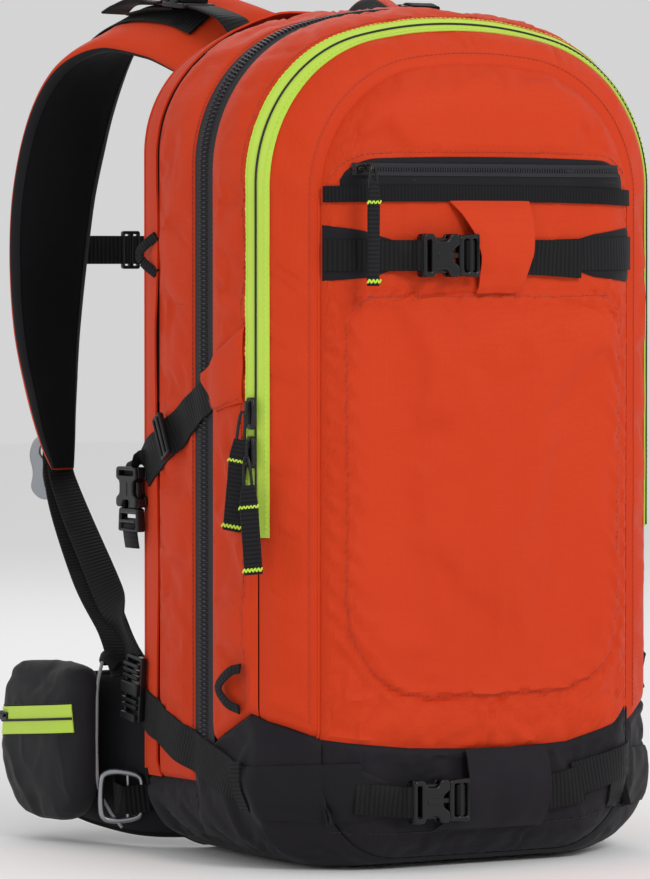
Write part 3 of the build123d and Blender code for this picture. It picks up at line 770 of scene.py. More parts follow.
def gusset(name, near_y, far_y, end_z, puff, seed, material, body="pack", near_roll=3.0, far_roll=3.0,
           replaced=(), lift=0.0):
    """A long panel over the arch between two depths; end_z gives its lower ends' height."""
    rows = max(6, int(abs(far_y - near_y) / 3.6))
    v = np.linspace(0, 1, rows)
    y = near_y + (far_y - near_y) * v
    end = share_at(y, end_z(y))
    u = np.linspace(-1, 1, 361)
    share = end[:, None] * u[None, :]
    base, normal = surface(y[:, None] + 0 * share, share)
    near_d, far_d = (y - near_y)[:, None], (far_y - y)[:, None]
    low_d = (base[..., 2] - end_z(y)[:, None])
    swell = puff * np.sin(np.pi * v)[:, None] ** 0.6
    wave = creases(base, seed) * np.clip((np.minimum(near_d, far_d) - 3) / 9, 0, 1)
    out = swell + wave * 0.75 + lift
    out = out * np.clip(low_d / 12, 0, 1) ** 0.5
    out = out + edge_dip(near_d, 4, near_roll) + edge_dip(far_d, 4, far_roll) + edge_dip(low_d, 5, 2.2)
    points = base + normal * out[..., None]
    near_seam = np.minimum(np.minimum(near_d, far_d) + 0 * low_d, low_d)
    piece = panel(name, points, body, material, replaced=replaced, held=seam_hold(near_seam),
                  spare=0.05,
                  pressure=0.6, cap=np.clip((near_seam - 5) / 4, 0, 3.5))
    cloth_panels.append(piece)
    return piece


# %% [markdown]
# ## The orange panels of the sides and top
# Each gusset is one long strip of cloth that goes up one side, over the top and down the other.
# Its edges are sewn into seams, so they roll inward, and the cloth between them swells a little.
# Its form comes from formulas. A short cloth simulation then adds creases, and each point's
# movement is cut off at a few millimetres, so that panels stay clear of their neighbours.
# %% Gussets
gusset("back_gusset", MAIN_Y + 10.5, 85.5, boot_line, 2.6, 3.0, ORANGE, far_roll=1.0,
       replaced=("back_shell",))
gusset("middle_gusset", LIME_Y + 0.5, MAIN_Y - 10.5, boot_line, 3.4, 11.0, ORANGE, near_roll=1.6,
       replaced=("middle_shell",))
gusset("front_gusset", SEAM_Y + 0.5, LIME_Y - 0.5, boot_line, 2.6, 21.0, ORANGE, far_roll=1.6, near_roll=2.6)
print("gussets", [len(p.data.vertices) for p in cloth_panels])

# %% [markdown]
# ## The back edge flap
# A strip of the same cloth covers the long zipper that bursts open for the airbag. It is sewn
# at the back edge only, so its front edge stands up a little, and near the crown it gapes.
# %% Flap and its zipper
FLAP_Y = 82.5


def flap_height(x, z):
    """How far the flap's free edge stands off the body."""
    gape = 7.5 * np.exp(-(((x + 62) / 42) ** 2)) * (z > 480)
    lower = 2.2 * np.exp(-(((z - 345) / 40) ** 2)) * (z < 420)
    return 1.6 + gape + lower


rows = 9
v = np.linspace(0, 1, rows)
y = FLAP_Y + (BACK_Y - 0.5 - FLAP_Y) * v
end = share_at(y, boot_line(y))
share = end[:, None] * np.linspace(-1, 1, 361)[None, :]
base, normal = surface(y[:, None] + 0 * share, share)
stand = flap_height(base[0, :, 0], base[0, :, 2])[None, :] * (1 - v[:, None]) ** 1.2
wave = creases(base, 31.0) * 0.35 * (1 - v[:, None])
low = np.clip((base[..., 2] - 50) / 10, 0, 1)
points = base + normal * ((stand + wave + 1.0 * np.sin(np.pi * v)[:, None] + 0.8) * low)[..., None]
points[0, :, 1] += 1.2 * np.sin(np.arange(361) / 9.0) * low[0]
flap = panel("back_edge_flap", points, "pack", ORANGE, thick=1.4)
cloth_panels.append(flap)

y = np.linspace(79, 92, 5)
end = share_at(y, 300 + 0 * y)
share = end[:, None] * np.linspace(-1, 1, 281)[None, :]
points, normal = surface(y[:, None] + 0 * share, share, 0.35 + 0 * share)
panel("burst_zipper_tape", points, "pack", DARK_TAPE, thick=0.6, replaced=("burst_zippers",))

end = float(share_at(np.array(84.0), np.array(306.0)))
share = np.linspace(-0.22, 0.22, 400)
line, line_n = surface(88.5 + 0 * share, share, 0.8 + 0 * share)
burst_teeth = repeat("burst_zipper_teeth", bead(1.1, 3.4, 1.4), placings_along(line, line_n, 2.4),
                     BRASS_TOOTH)
finish_piece(burst_teeth, "pack")

# %% [markdown]
# ## The front panel
# The front is one panel inside an arched seam, domed by what is packed behind it. Its height
# off the seam depends only on how far a place is from the arch. Inside it the lower pocket has
# a seam of its own with large corners, where the cloth is drawn in and then swells again.
# %% Front surface
FRONT_HALF = HALF - 37.0
ARCH_X, ARCH_Z = outline(np.full(400, SEAM_Y), np.linspace(0, 1, 400))
arch_line = np.stack([np.concatenate([-ARCH_X[::-1], ARCH_X]), np.concatenate([ARCH_Z[::-1], ARCH_Z])], 1)
POCKET_SEAM = rounded([(-107, 374), (107, 374), (107, 109), (-107, 109)], [26, 26, 72, 72], 12)
POCKET_SEAM = np.vstack([POCKET_SEAM, POCKET_SEAM[:1]])


def distance_to(line, x, z):
    """Distance from places on the front to a line of straight runs."""
    best = np.full(x.shape, 1e9)
    for (ax, az), (bx, bz) in zip(line[:-1], line[1:]):
        dx, dz = bx - ax, bz - az
        t = np.clip(((x - ax) * dx + (z - az) * dz) / (dx * dx + dz * dz + 1e-9), 0, 1)
        best = np.minimum(best, np.hypot(x - ax - t * dx, z - az - t * dz))
    return best


def inside_pocket(x, z):
    return (np.abs(x) < 107) & (z > 109) & (z < 374)


def front_depth(x, z, wrinkle=1.0):
    """The y of the front's outer face at places (x, z)."""
    d = distance_to(arch_line[::4], x, z)
    dome = 16.0 * (1 - (1 - np.clip(d / 34, 0, 1)) ** 2.2)
    seam = distance_to(POCKET_SEAM, x, z)
    seam = np.minimum(seam, np.hypot(x, np.clip(z - 107, 0, None) + np.clip(76 - z, 0, None)) + 2.0)
    groove = -1.9 * np.exp(-((seam / 3.0) ** 2))
    swell = np.where(inside_pocket(x, z), 1.3 * np.clip(seam / 30, 0, 1) ** 0.6, 0.0)
    p = np.stack([x, 0 * x, z], -1)
    wave = creases(p, 47.0) * 0.55 * wrinkle * np.clip(d / 20, 0, 1)
    pucker = 0.5 * np.sin(x * 0.42 + z * 0.36) * np.exp(-((seam / 9) ** 2)) * wrinkle
    return SEAM_Y - dome - np.clip(groove + swell + wave + pucker - 0.9, -4, 1.4)


BOOT_X = [-118, -104, -60, 0, 60, 100, 118]
BOOT_FRONT_Z = [86, 84, 79, 76, 78, 88, 100]


def boot_front(x):
    return np.interp(x, BOOT_X, BOOT_FRONT_Z)


def front_patch_grid(x, low, high, rows):
    """Points on the front between two heights for each x."""
    t = np.linspace(0, 1, rows)[:, None]
    z = low[None, :] + (high - low)[None, :] * t
    xx = np.broadcast_to(x, z.shape)
    return xx, z


half_columns = np.sin(np.linspace(0, np.pi / 2, 48))
x = FRONT_HALF * np.concatenate([-half_columns[:0:-1], half_columns])
high = np.interp(np.abs(x), ARCH_X[:200], ARCH_Z[:200])
SHOULDER_Z = 435.0
high = np.maximum(high, SHOULDER_Z * (np.abs(x) > 117.5))
xx, zz = front_patch_grid(x, boot_front(x), high, 130)
d = distance_to(arch_line[::2], xx, zz)
boot_d = zz - boot_front(xx)
depth = front_depth(xx, zz)
points = np.stack([xx, depth - edge_dip(d, 4, 2.4) - edge_dip(boot_d, 5, 2.2), zz], -1)
seam = distance_to(POCKET_SEAM, xx, zz)
near_seam = np.minimum(np.minimum(d, boot_d), np.where(zz < 380, seam * 1.6, 1e3))
under_strap = ((zz > 372) & (zz < 466)) * 1.0
allowed = np.clip(near_seam / 6, 0, 1) * (3.2 - 2.2 * under_strap)
front_panel = panel("front_panel", points, "pack", ORANGE, replaced=("front_shell",),
                    held=seam_hold(near_seam), spare=0.045, pressure=0.5, cap=allowed)
cloth_panels.append(front_panel)
print("front panel", len(front_panel.data.vertices), "vertices; y from", round(depth.min(), 1))

# %% [markdown]
# ## The base
# Heavier black cloth wraps the bottom, where the pack is put down on snow and rock. It has a
# side piece from the back edge round to the front, and a front piece, joined at the corners.
# %% Base pieces
y = np.linspace(SEAM_Y + 0.3, BACK_Y, 52)
top = share_at(y, boot_line(y))
for hand, side_name in ((-1, "left"), (1, "right")):
    share = hand * (top[:, None] + (1 - top)[:, None] * np.linspace(0, 1, 62)[None, :])
    base, normal = surface(y[:, None] + 0 * share, share)
    near_d, far_d = (y - SEAM_Y)[:, None], (BACK_Y - y)[:, None]
    low_d = boot_line(y)[:, None] - base[..., 2]
    wave = creases(base, 61.0 + hand) * np.clip(base[..., 2] / 25, 0.0, 1)
    out = (wave * 0.6 + 0.8) * np.clip(low_d / 8, 0, 1) + edge_dip(near_d, 4, 2.2) + edge_dip(low_d, 5, 2.4)
    points = base + normal * out[..., None]
    points[..., 2] = np.maximum(points[..., 2], 0.2)
    near_seam = np.minimum(np.minimum(near_d, low_d), base[..., 2] - 4)
    piece = panel(f"base_side_{side_name}", points, "pack", BLACK_CLOTH,
                  replaced=("base_boot",) if hand < 0 else (), held=seam_hold(near_seam), spare=0.06,
                  pressure=0.4,
                  cap=np.clip(near_seam / 5, 0, 3.5))
    cloth_panels.append(piece)

floor_x, floor_z = outline(np.full(400, SEAM_Y), np.linspace(0.6, 1, 400))
low = np.interp(np.abs(x), floor_x[::-1], floor_z[::-1])
low = np.where(np.abs(x) > 117.5, 62.0, low)
xx, zz = front_patch_grid(x, low, boot_front(x), 34)
d = distance_to(arch_line[::2], xx, zz)
depth = front_depth(xx, zz)
points = np.stack([xx, depth - edge_dip(d, 4, 2.2) - edge_dip(boot_front(xx) - zz, 5, 2.4), zz], -1)
near_seam = np.minimum(np.minimum(d, boot_front(xx) - zz), np.maximum(np.abs(zz - 24) * 1.5, 0))
base_front = panel("base_front", points, "pack", BLACK_CLOTH, held=seam_hold(near_seam),
                   spare=0.05,
                   pressure=0.3, cap=np.clip(near_seam / 6, 0, 1.6))
cloth_panels.append(base_front)

# %% [markdown]
# ## Laying things on the cloth
# Zippers, tapes and straps follow the finished panels and not the plain surface beneath them,
# so a place is dropped along its normal onto the panels that are there.
# %% Finding the cloth
from mathutils.bvhtree import BVHTree

verts, faces = [], []
for piece in cloth_panels:
    start = len(verts)
    verts += [v.co / MM for v in piece.data.vertices]
    faces += [tuple(start + i for i in f.vertices) for f in piece.data.polygons]
cloth_tree = BVHTree.FromPolygons(verts, faces)


def lay(points, normals, lift, ease=0):
    """Drops points along their normals onto the cloth and lifts them off it."""
    shape = points.shape
    p, n = points.reshape(-1, 3), np.broadcast_to(normals, shape).reshape(-1, 3)
    height = np.zeros(len(p))
    for i in range(len(p)):
        hit = cloth_tree.ray_cast(Vector(p[i] + n[i] * 25), Vector(-n[i]), 50)
        height[i] = 25 - hit[3] if hit[0] is not None else 0.0
    height = height.reshape(shape[:-1])
    for _ in range(ease):
        wide = np.pad(height, [(1, 1)] * height.ndim, mode="edge")
        for axis in range(height.ndim):
            wide = (np.roll(wide, 1, axis) + 2 * wide + np.roll(wide, -1, axis)) / 4
        cut = tuple(slice(1, -1) for _ in range(height.ndim))
        height = np.maximum(wide[cut], height - 0.4)
    lifted = height + np.asarray(lift)
    return points + np.broadcast_to(normals, shape) * lifted[..., None]


def side_places(hand, y, z):
    """Points and normals on one side of the pack at depths y and heights z."""
    y, z = np.broadcast_arrays(np.asarray(y, float), np.asarray(z, float))
    return surface(y, hand * share_at(y, z))


def front_places(x, z):
    """Points and normals on the front at places (x, z)."""
    x, z = np.broadcast_arrays(np.asarray(x, float), np.asarray(z, float))
    point = np.stack([x, front_depth(x, z, 0.0), z], -1)
    nx = (front_depth(x + 1, z, 0.0) - front_depth(x - 1, z, 0.0)) / 2
    nz = (front_depth(x, z + 1, 0.0) - front_depth(x, z - 1, 0.0)) / 2
    return point, unit(np.stack([nx, -np.ones_like(nx), nz], -1))


def arch_lines(y, low_z, lift, count=900):
    """A line over the arch at depth y, laid on the cloth, with its normals."""
    end = float(share_at(np.array(float(y)), np.array(float(low_z))))
    share = np.linspace(-end, end, count)
    p, n = surface(float(y) + 0 * share, share)
    return lay(p, n, lift), n


# %% [markdown]
# ## The zippers
# The main zipper has chunky moulded teeth on a charcoal tape, set a little below the panels on
# both sides of it. Two rows of teeth interlock, so each row is every other tooth, shifted
# across. The lime one is covered: its coil shows only as a thin dark line between two lips.
# %% Main zipper
y = np.linspace(MAIN_Y - 12.5, MAIN_Y + 12.5, 9)
end = share_at(y, boot_line(y) - 6)
share = end[:, None] * np.linspace(-1, 1, 361)[None, :]
points, normal = surface(y[:, None] + 0 * share, share, -0.6 + 0 * share)
panel("main_zipper_tape", points, "pack", DARK_TAPE, thick=0.8, replaced=("main_zipper",))

end = float(share_at(np.array(MAIN_Y), np.array(74.0)))
share = np.linspace(-end, end, 1200)
line, line_n = surface(MAIN_Y + 0 * share, share, -0.5 + 0 * share)
for row, shift in (("front", -2.7), ("back", 2.7)):
    moved = line + np.array([0, shift, 0])
    places = placings_along(moved, line_n, 3.0, 0.0 if shift < 0 else 1.5)
    teeth = repeat(f"main_zipper_teeth_{row}", bead(1.7, 4.6, 1.7), places, TOOTH)
    finish_piece(teeth, "pack")
print("teeth in a row", len(places))


def arch_tape(name, y0, y1, low_z, lift, material, thick=0.8, rows=5, curl=0.0, replaced=()):
    """A tape along the arch between two depths, lying on the cloth."""
    y = np.linspace(y0, y1, rows)
    end = share_at(y, low_z + 0 * y)
    share = end[:, None] * np.linspace(-1, 1, 361)[None, :]
    p, n = surface(y[:, None] + 0 * share, share)
    rise = lift + curl * np.abs(np.linspace(-1, 1, rows))[:, None] ** 2 + 0 * share
    return panel(name, lay(p, n, rise, ease=5), "pack", material, thick=thick, replaced=replaced)


arch_tape("lime_zipper_tape", LIME_Y - 6.5, LIME_Y + 7, 216, 1.7, LIME_TAPE, rows=9,
          replaced=("lime_zipper",))
line, line_n = arch_lines(LIME_Y, 217, 2.1)
lime_coil = tube("lime_zipper_coil", line, 0.75, DARK_TAPE, spacing=4)
finish_piece(lime_coil, "pack")
for shift in (-5.2, 5.7):
    line, line_n = arch_lines(LIME_Y + shift, 218, 2.1)
    row = stitches(f"lime_tape_stitch_{'front' if shift < 0 else 'back'}", line, line_n, LIME_THREAD, 3.6,
                   2.6, 0.7, 0.4)
    finish_piece(row, "pack")

# %% [markdown]
# ## Topstitching
# Panels are pressed flat beside their seams with one or two rows of thread. At this scale a
# stitch is a small bead a little over two millimetres long.
# %% Seam threads
for name, depth, low_z in (("back_seam_stitch", MAIN_Y + 14, 60), ("middle_seam_stitch", MAIN_Y - 13.5, 92),
                           ("lime_seam_stitch", LIME_Y + 11, 108), ("inner_seam_stitch", SEAM_Y + 5, 96)):
    line, line_n = arch_lines(depth, low_z, 0.1)
    finish_piece(stitches(name, line, line_n, ORANGE_THREAD), "pack")

path = curve_points(np.vstack([POCKET_SEAM.T, 0 * POCKET_SEAM[:, 0]]).T, 400)
centre = np.array([0, 241.5])
around = path[:, :2] - centre
inset = -3.2
shrunk = centre + around * (1 + inset / np.maximum(np.linalg.norm(around, axis=1, keepdims=True), 1))
p, n = front_places(shrunk[:, 0], shrunk[:, 1])
finish_piece(stitches("pocket_seam_stitch", lay(p, n, 0.1), n, ORANGE_THREAD), "pack")
print("stitched")

# %% [markdown]
# ## Appliqués, ribbons and small hardware
# Everything that is sewn on is either a patch between two edge lines or a ribbon along a line.
# Buckles and ladder locks are moulded: a few flat outlines with rounded edges, one on another,
# give the same layered look as the real mouldings, whose parts also stand in thin steps.
# %% Patches, ribbons and mouldings


def front_patch(name, x, low, high, lift, material, rows=16, body="pack", thick=1.2, tuck=1.0,
                replaced=()):
    """Cloth sewn on the front between two heights for each x, its edges pressed down."""
    x = np.asarray(x, float)
    xx, zz = front_patch_grid(x, np.broadcast_to(low, x.shape), np.broadcast_to(high, x.shape), rows)
    p, n = front_places(xx, zz)
    rise = np.full(xx.shape, float(lift))
    rise[[0, -1], :] -= tuck
    rise[:, [0, -1]] -= tuck
    piece = panel(name, lay(p, n, rise, ease=2), body, material, thick=thick, replaced=replaced)
    return piece


def side_patch(name, hand, y, low, high, lift, material, rows=14, thick=1.4, tuck=0.8, replaced=()):
    """Cloth sewn on one side between two heights for each depth y."""
    y = np.asarray(y, float)
    yy, zz = front_patch_grid(y, np.broadcast_to(low, y.shape), np.broadcast_to(high, y.shape), rows)
    p, n = side_places(hand, yy, zz)
    rise = np.full(yy.shape, float(lift))
    rise[[0, -1], :] -= tuck
    rise[:, [0, -1]] -= tuck
    return panel(name, lay(p, n, rise, ease=2), "pack", material, thick=thick, replaced=replaced)


def ribbon(name, p, n, width, lift, material, thick=1.4, rows=5, body="pack", ease=3, spacing=3.0,
           replaced=()):
    """Webbing lying along a line of places on the cloth; width is one number or one a point."""
    wide, lifts = spread(width, len(p)), spread(lift, len(p))
    run = np.sum(np.linalg.norm(np.diff(p, axis=0), axis=1))
    every = curve_points(np.hstack([p, n, wide, lifts]), max(6, int(run / spacing)))
    centre, normal, wide, lifts = every[:, :3], unit(every[:, 3:6]), every[:, 6], every[:, 7]
    along = unit(np.gradient(centre, axis=0))
    across = unit(np.cross(normal, along))
    offset = np.linspace(-0.5, 0.5, rows)[:, None, None]
    grid = centre[None] + across[None] * wide[None, :, None] * offset
    normals = np.broadcast_to(normal[None], grid.shape)
    rise = lifts[None, :] + 0 * grid[..., 0]
    return panel(name, lay(grid, normals, rise, ease=ease), body, material, thick=thick,
                 replaced=replaced)


def side_line(hand, corners):
    """Places and normals along a smooth run of (y, z) on one side."""
    c = curve_points([(a, b, 0) for a, b in corners], max(8, len(corners) * 5))
    return side_places(hand, c[:, 0], c[:, 1])


def front_line(corners):
    c = curve_points([(a, b, 0) for a, b in corners], max(8, len(corners) * 5))
    return front_places(c[:, 0], c[:, 1])


def oblong(x0, x1, y0, y1, radius):
    return rounded([(x0, y0), (x1, y0), (x1, y1), (x0, y1)], radius)


def receiver(name, placing, body, replaced):
    """The female half of a side-release buckle, mouth towards +x of its placing."""
    body_line = rounded([(-13.5, -14), (-5.5, -14), (-3.5, -9.2), (4.5, -9.2), (7, -14), (13.5, -14),
                         (13.5, -7),
                         (8.5, -3.5), (8.5, 3.5), (13.5, 7), (13.5, 14), (7, 14), (4.5, 9.2), (-3.5, 9.2),
                         (-5.5, 14), (-13.5, 14)], [3, 2, 2, 2, 2, 3, 1, 2, 2, 1, 3, 2, 2, 2, 2, 3])
    slot_hole = oblong(-11, -7.6, -10.5, 10.5, 1)
    parts = [
        plate("low", [body_line, slot_hole], 2.4, placing, 0.7, 0.0),
        plate("high", [body_line, slot_hole], 2.6, placing, 1.0, 7.4),
        plate("root", [oblong(-13.5, -11.2, -14, 14, 1)], 6, placing, 0.8, 2.0),
        plate("root_inner", [oblong(-7.4, -4.0, -10, 10, 1)], 6, placing, 0.6, 2.0),
        plate("rib", [oblong(-3.5, 6.5, -2.2, 2.2, 2)], 1.2, placing, 0.5, 9.2),
    ]
    for up in (-1, 1):
        parts.append(plate("wall", [oblong(-13.5, -6.2, *sorted((up * 11.6, up * 14)), 1)], 6, placing, 0.7,
                           2.0))
        parts.append(plate("lip", [oblong(7.5, 13.5, *sorted((up * 12.1, up * 14)), 0.9)], 6, placing, 0.7,
                           2.0))
    return finish_piece(join(name, parts), body, ACETAL, replaced)


def plug(name, placing, body, replaced):
    """The male half: a webbing frame, a guide and two springy prongs."""
    frame_line = rounded([(14, -13), (27, -14), (29.9, -14), (29.9, 14), (27, 14), (14, 13)],
                         [2, 2, 3, 3, 2, 2])
    holes = [oblong(18.2, 21.6, -10.5, 10.5, 1), oblong(24.4, 27.6, -10.5, 10.5, 1)]
    parts = [plate("frame", [frame_line, *holes], 6.4, placing, 1.4, 2.0),
             plate("bar", [oblong(21.8, 24.2, -11, 11, 1)], 3.0, placing, 1.0, 6.0),
             plate("guide", [oblong(-3, 15, -1.8, 1.8, 1.4)], 4.2, placing, 0.8, 2.9)]
    for up in (-1, 1):
        line = [(15, 8.0), (15, 11.4), (8, 10.8), (3.5, 11.4), (-3, 11.4), (-5.5, 9.4), (-3.0, 7.8), (6, 7.9)]
        line = rounded([(x, up * y) for x, y in line], 1.2)
        parts.append(plate("prong", [line], 4.4, placing, 1.2, 2.8))
    return finish_piece(join(name, parts), body, ACETAL, replaced)


def ladder_lock(name, placing, length, width, body, replaced=(), thick=6.0, ridges=()):
    """A ladder lock: a frame with two slots, a raised bar, a thumb lip and any grip ridges."""
    a, b = length / 2, width / 2
    frame_line = oblong(-a, a, -b, b, 3)
    wide = b - 2.6
    holes = [oblong(-a + 3, -a * 0.1 - 2, -wide, wide, 1), oblong(a * 0.1 + 2, a - 5, -wide, wide, 1)]
    parts = [plate("frame", [frame_line, *holes], thick * 0.6, placing, 1.0, 0.0),
             plate("bar", [oblong(-a * 0.1 - 2.2, a * 0.1 + 2.2, -b, b, 1.5)], thick * 0.55, placing, 1.2,
                   thick * 0.45),
             plate("lip", [oblong(a - 5.5, a, -b + 1, b - 1, 2)], thick * 0.5, placing, 1.0, thick * 0.5)]
    parts += [plate("ridge", [oblong(u - 1.3, u + 1.3, -b + 1, b - 1, 0.8)], thick * 0.5, placing, 0.6,
                    thick * 0.4)
              for u in ridges]
    return finish_piece(join(name, parts), body, ACETAL, replaced)


def triglide(name, placing, length, width, body, thick=3.0, replaced=()):
    """A small three-bar slide."""
    a, b = length / 2, width / 2
    holes = [oblong(-a + 2, -1.6, -b + 2.4, b - 2.4, 0.8), oblong(1.6, a - 2, -b + 2.4, b - 2.4, 0.8)]
    piece = plate(name, [oblong(-a, a, -b, b, 2), *holes], thick, placing, 1.0)
    return finish_piece(piece, body, ACETAL, replaced)


def bartack(name, centre, along, out, width, body, material=None):
    """A dense row of thread across a pull."""
    centre, along, out = (np.array(v, float) for v in (centre, along, out))
    side = unit(np.cross(out, along))
    places = []
    for k, t in enumerate(np.linspace(-0.5, 0.5, int(width / 1.1))):
        turn = np.stack([unit(along * (0.9 if k % 2 else 0.8) + side * (0.45 if k % 2 else -0.5)), side, out],
                        1)
        turn[:, 1] = np.cross(turn[:, 2], turn[:, 0])
        places.append((centre + side * t * width, turn))
    piece = repeat(name, bead(3.0, 1.3, 1.0), places, material or LIME_THREAD)
    return finish_piece(piece, body)


# %% [markdown]
# ## The top pocket
# A curved black panel holds a coil zipper, and a black band under it runs from seam to seam.
# %% Pocket panel, band and coil
x = np.linspace(-108, 108, 72)
corner = 1 - np.sqrt(1 - np.clip((np.abs(x) - 84) / 25, 0, 1) ** 2)
front_patch("top_pocket_panel", x, 441.0, 462.0 - 17.5 * corner - 0.0002 * x**2, 1.5, PATCH_CLOTH,
            rows=12,
            replaced=("top_pocket_panel",))
p, n = front_line([(-116.5, 437.3), (-60, 438), (0, 438), (60, 437.6), (116.5, 436)])
ribbon("top_pocket_band", p, n, 10.5, 2.1, BINDING, thick=1.4)
for name, z0, z1 in (("top_zip_tape_upper", 454.0, 457.5), ("top_zip_tape_lower", 449.3, 452.8)):
    p, n = front_line([(-101, (z0 + z1) / 2), (0, (z0 + z1) / 2), (101, (z0 + z1) / 2)])
    ribbon(name, p, n, 3.3, 2.2, DARK_TAPE, thick=0.8,
           replaced=("top_pocket_zipper",) if z0 > 450 else ())
p, n = front_line([(-101, 453.4), (0, 453.4), (100, 453.4)])
line = curve_points(np.hstack([p, n]), 200)
coil = repeat("top_zip_coil", bead(1.5, 2.6, 1.3),
              placings_along(lay(line[:, :3], line[:, 3:], 2.2, 2), line[:, 3:], 1.9), TOOTH)
finish_piece(coil, "pack")
edge_x = np.linspace(-112, 112, 150)
edge_corner = 1 - np.sqrt(1 - np.clip((np.abs(edge_x) - 86) / 27, 0, 1) ** 2)
edge_z = 465.5 - 19 * edge_corner - 0.0002 * edge_x**2
p, n = front_places(edge_x, edge_z)
finish_piece(stitches("top_pocket_stitch", lay(p, n, 0.1), n, ORANGE_THREAD), "pack")
p, n = front_line([(-100, 446.4), (0, 446.8), (100, 446.0)])
line = curve_points(np.hstack([p, n]), 120)
finish_piece(stitches("top_pocket_lower_stitch", lay(line[:, :3], line[:, 3:], 1.0, 2), line[:, 3:],
                      BLACK_THREAD), "pack")

# %% [markdown]
# ## Front strap
# The strap's ends are black tabs caught in the inner seam. The left one carries the buckle's
# receiver; on the right the webbing is folded back on itself, and an orange keeper hides
# where it meets the plug.
# %% Tabs, webbing and keeper
x = np.linspace(-117, -70, 20)
front_patch("front_tab_left", x, np.interp(x, [-117, -88, -70], [381.5, 384, 390]),
            np.interp(x, [-117, -95, -70], [417.5, 414, 407]), 1.7, PATCH_CLOTH,
            replaced=("front_tabs",))
x = np.linspace(58, 117, 22)
front_patch("front_tab_right", x, np.interp(x, [58, 80, 117], [391, 384, 380]),
            np.interp(x, [58, 80, 117], [406, 412, 417]), 1.7, PATCH_CLOTH)

FRONT_Z, BASE_Z = 398.0, 45.0
FRONT_X, BASE_X = -45.0, -52.0
PLATE_Y = -94.0


def bar_webbing(name, x_flat, x_bar, z, width, material, body="pack", replaced=(), tilt=0.0):
    """Webbing from flat on the front up over a buckle's bar and down again behind it."""
    way = 1 if x_bar > x_flat else -1
    flat_y = [float(front_depth(np.array([v]), np.array([z]),
                                0.0)[0]) - 2.6 for v in (x_flat, (x_flat + x_bar) / 2)]
    path = [(x_flat, flat_y[0], z + tilt), ((x_flat + x_bar) / 2, flat_y[1] - 0.2, z + tilt / 2),
            (x_bar - way * 7, -94.6, z), (x_bar - way * 3.2, -99.6, z), (x_bar, -102.2, z),
            (x_bar + way * 2.6, -100.0, z),
            (x_bar + way * 2.2, -95.4, z)]
    piece = strip(name, path, (0, 0, 1), width, 1.6, material, 1.6)
    return finish_piece(piece, body, None, replaced)


bar_webbing("front_webbing_left", -100, FRONT_X - 12.3, FRONT_Z, 20.0, WEBBING, replaced=("front_straps",))
bar_webbing("front_webbing_right", 24, FRONT_X + 23.2, FRONT_Z, 20.0, WEBBING, body="front_male")
p, n = front_line([(8, 397), (40, 396.5), (69, 395.5)])
ribbon("front_webbing_fold", p, n, [22, 23, 25], [3.0, 3.4, 3.8], WEBBING, thick=3.2)
p, n = front_line([(-116, 398), (-108, 398), (-96, 398)])
ribbon("front_webbing_root", p, n, 20, 2.7, WEBBING)
p, n = front_line([(50, 398), (85, 399), (116, 399.5)])
ribbon("front_webbing_end", p, n, [21, 21, 22], 2.7, GREY_WEBBING)
z = np.linspace(375.5, 433.5, 22)
left = np.interp(z, [375, 385, 398, 412, 425, 434], [-12, -12, -12.5, -17, -25, -33])
right = np.interp(z, [375, 385, 398, 415, 434], [20, 24, 27, 28.5, 28])
t = np.linspace(0, 1, 18)[None, :]
xx = left[:, None] + (right - left)[:, None] * t
zz = z[:, None] + 0 * t
p, n = front_places(xx, zz)
arch = 9.0 * np.clip(np.sin(np.pi * (zz - 372) / 62), 0, 1) ** 0.7 * np.clip(1.15 - np.abs(t - 0.5) * 0.5, 0,
                                                                             1)
panel("front_keeper", lay(p, n, 1.4 + arch, ease=1), "pack", ORANGE, thick=1.2)

front_place = plane_matrix((FRONT_X, PLATE_Y, FRONT_Z), (1, 0, 0), (0, -1, 0))
receiver("front_receiver", front_place, "pack", ("front_buckle_female",))
plug("front_plug", front_place, "front_male", ("front_buckle_male",))

# %% [markdown]
# ## Base strap
# The same strap again, lower down on the black cloth, with a wide black keeper.
# %% Base webbing, keeper and buckle
base_place = plane_matrix((BASE_X, PLATE_Y, BASE_Z), (1, 0, 0), (0, -1, 0))
receiver("base_receiver", base_place, "pack", ("base_buckle_female",))
plug("base_plug", base_place, "base_male", ("base_buckle_male",))
x = np.linspace(-117, -76, 18)
front_patch("base_tab_left", x, np.interp(x, [-117, -76], [30, 36]),
            np.interp(x, [-117, -95, -76], [70, 66, 58]),
            1.7, PATCH_CLOTH)
bar_webbing("base_webbing_left", -100, BASE_X - 12.3, BASE_Z, 20.0, WEBBING, replaced=("base_straps",),
            tilt=3)
bar_webbing("base_webbing_plug", 24, BASE_X + 23.2, BASE_Z, 20.0, WEBBING, body="base_male")
z = np.linspace(26, 77, 20)
left = np.interp(z, [26, 34, 45, 60, 77], [-44, -32, -23, -20, -20])
right = np.interp(z, [26, 45, 77], [38, 41, 41])
xx = left[:, None] + (right - left)[:, None] * np.linspace(0, 1, 20)[None, :]
zz = z[:, None] + 0 * xx
p, n = front_places(xx, zz)
arch = 9.0 * np.clip(np.sin(np.pi * (zz - 22) / 58), 0, 1) ** 0.7 + 0 * xx
panel("base_keeper", lay(p, n, 1.4 + arch, ease=1), "pack", BLACK_CLOTH, thick=1.2)
p, n = front_line([(20, 45), (45, 46), (72, 50)])
ribbon("base_webbing_fold", p, n, [22, 23, 24], [3.0, 3.0, 2.6], WEBBING, thick=3.0)
p, n = front_line([(64, 53), (90, 58), (116, 64)])
ribbon("base_webbing_end", p, n, 22, 2.6, GREY_WEBBING)
p, n = front_line([(-116, 26), (-70, 24), (0, 24), (70, 27), (116, 34)])
line = curve_points(np.hstack([p, n]), 200)
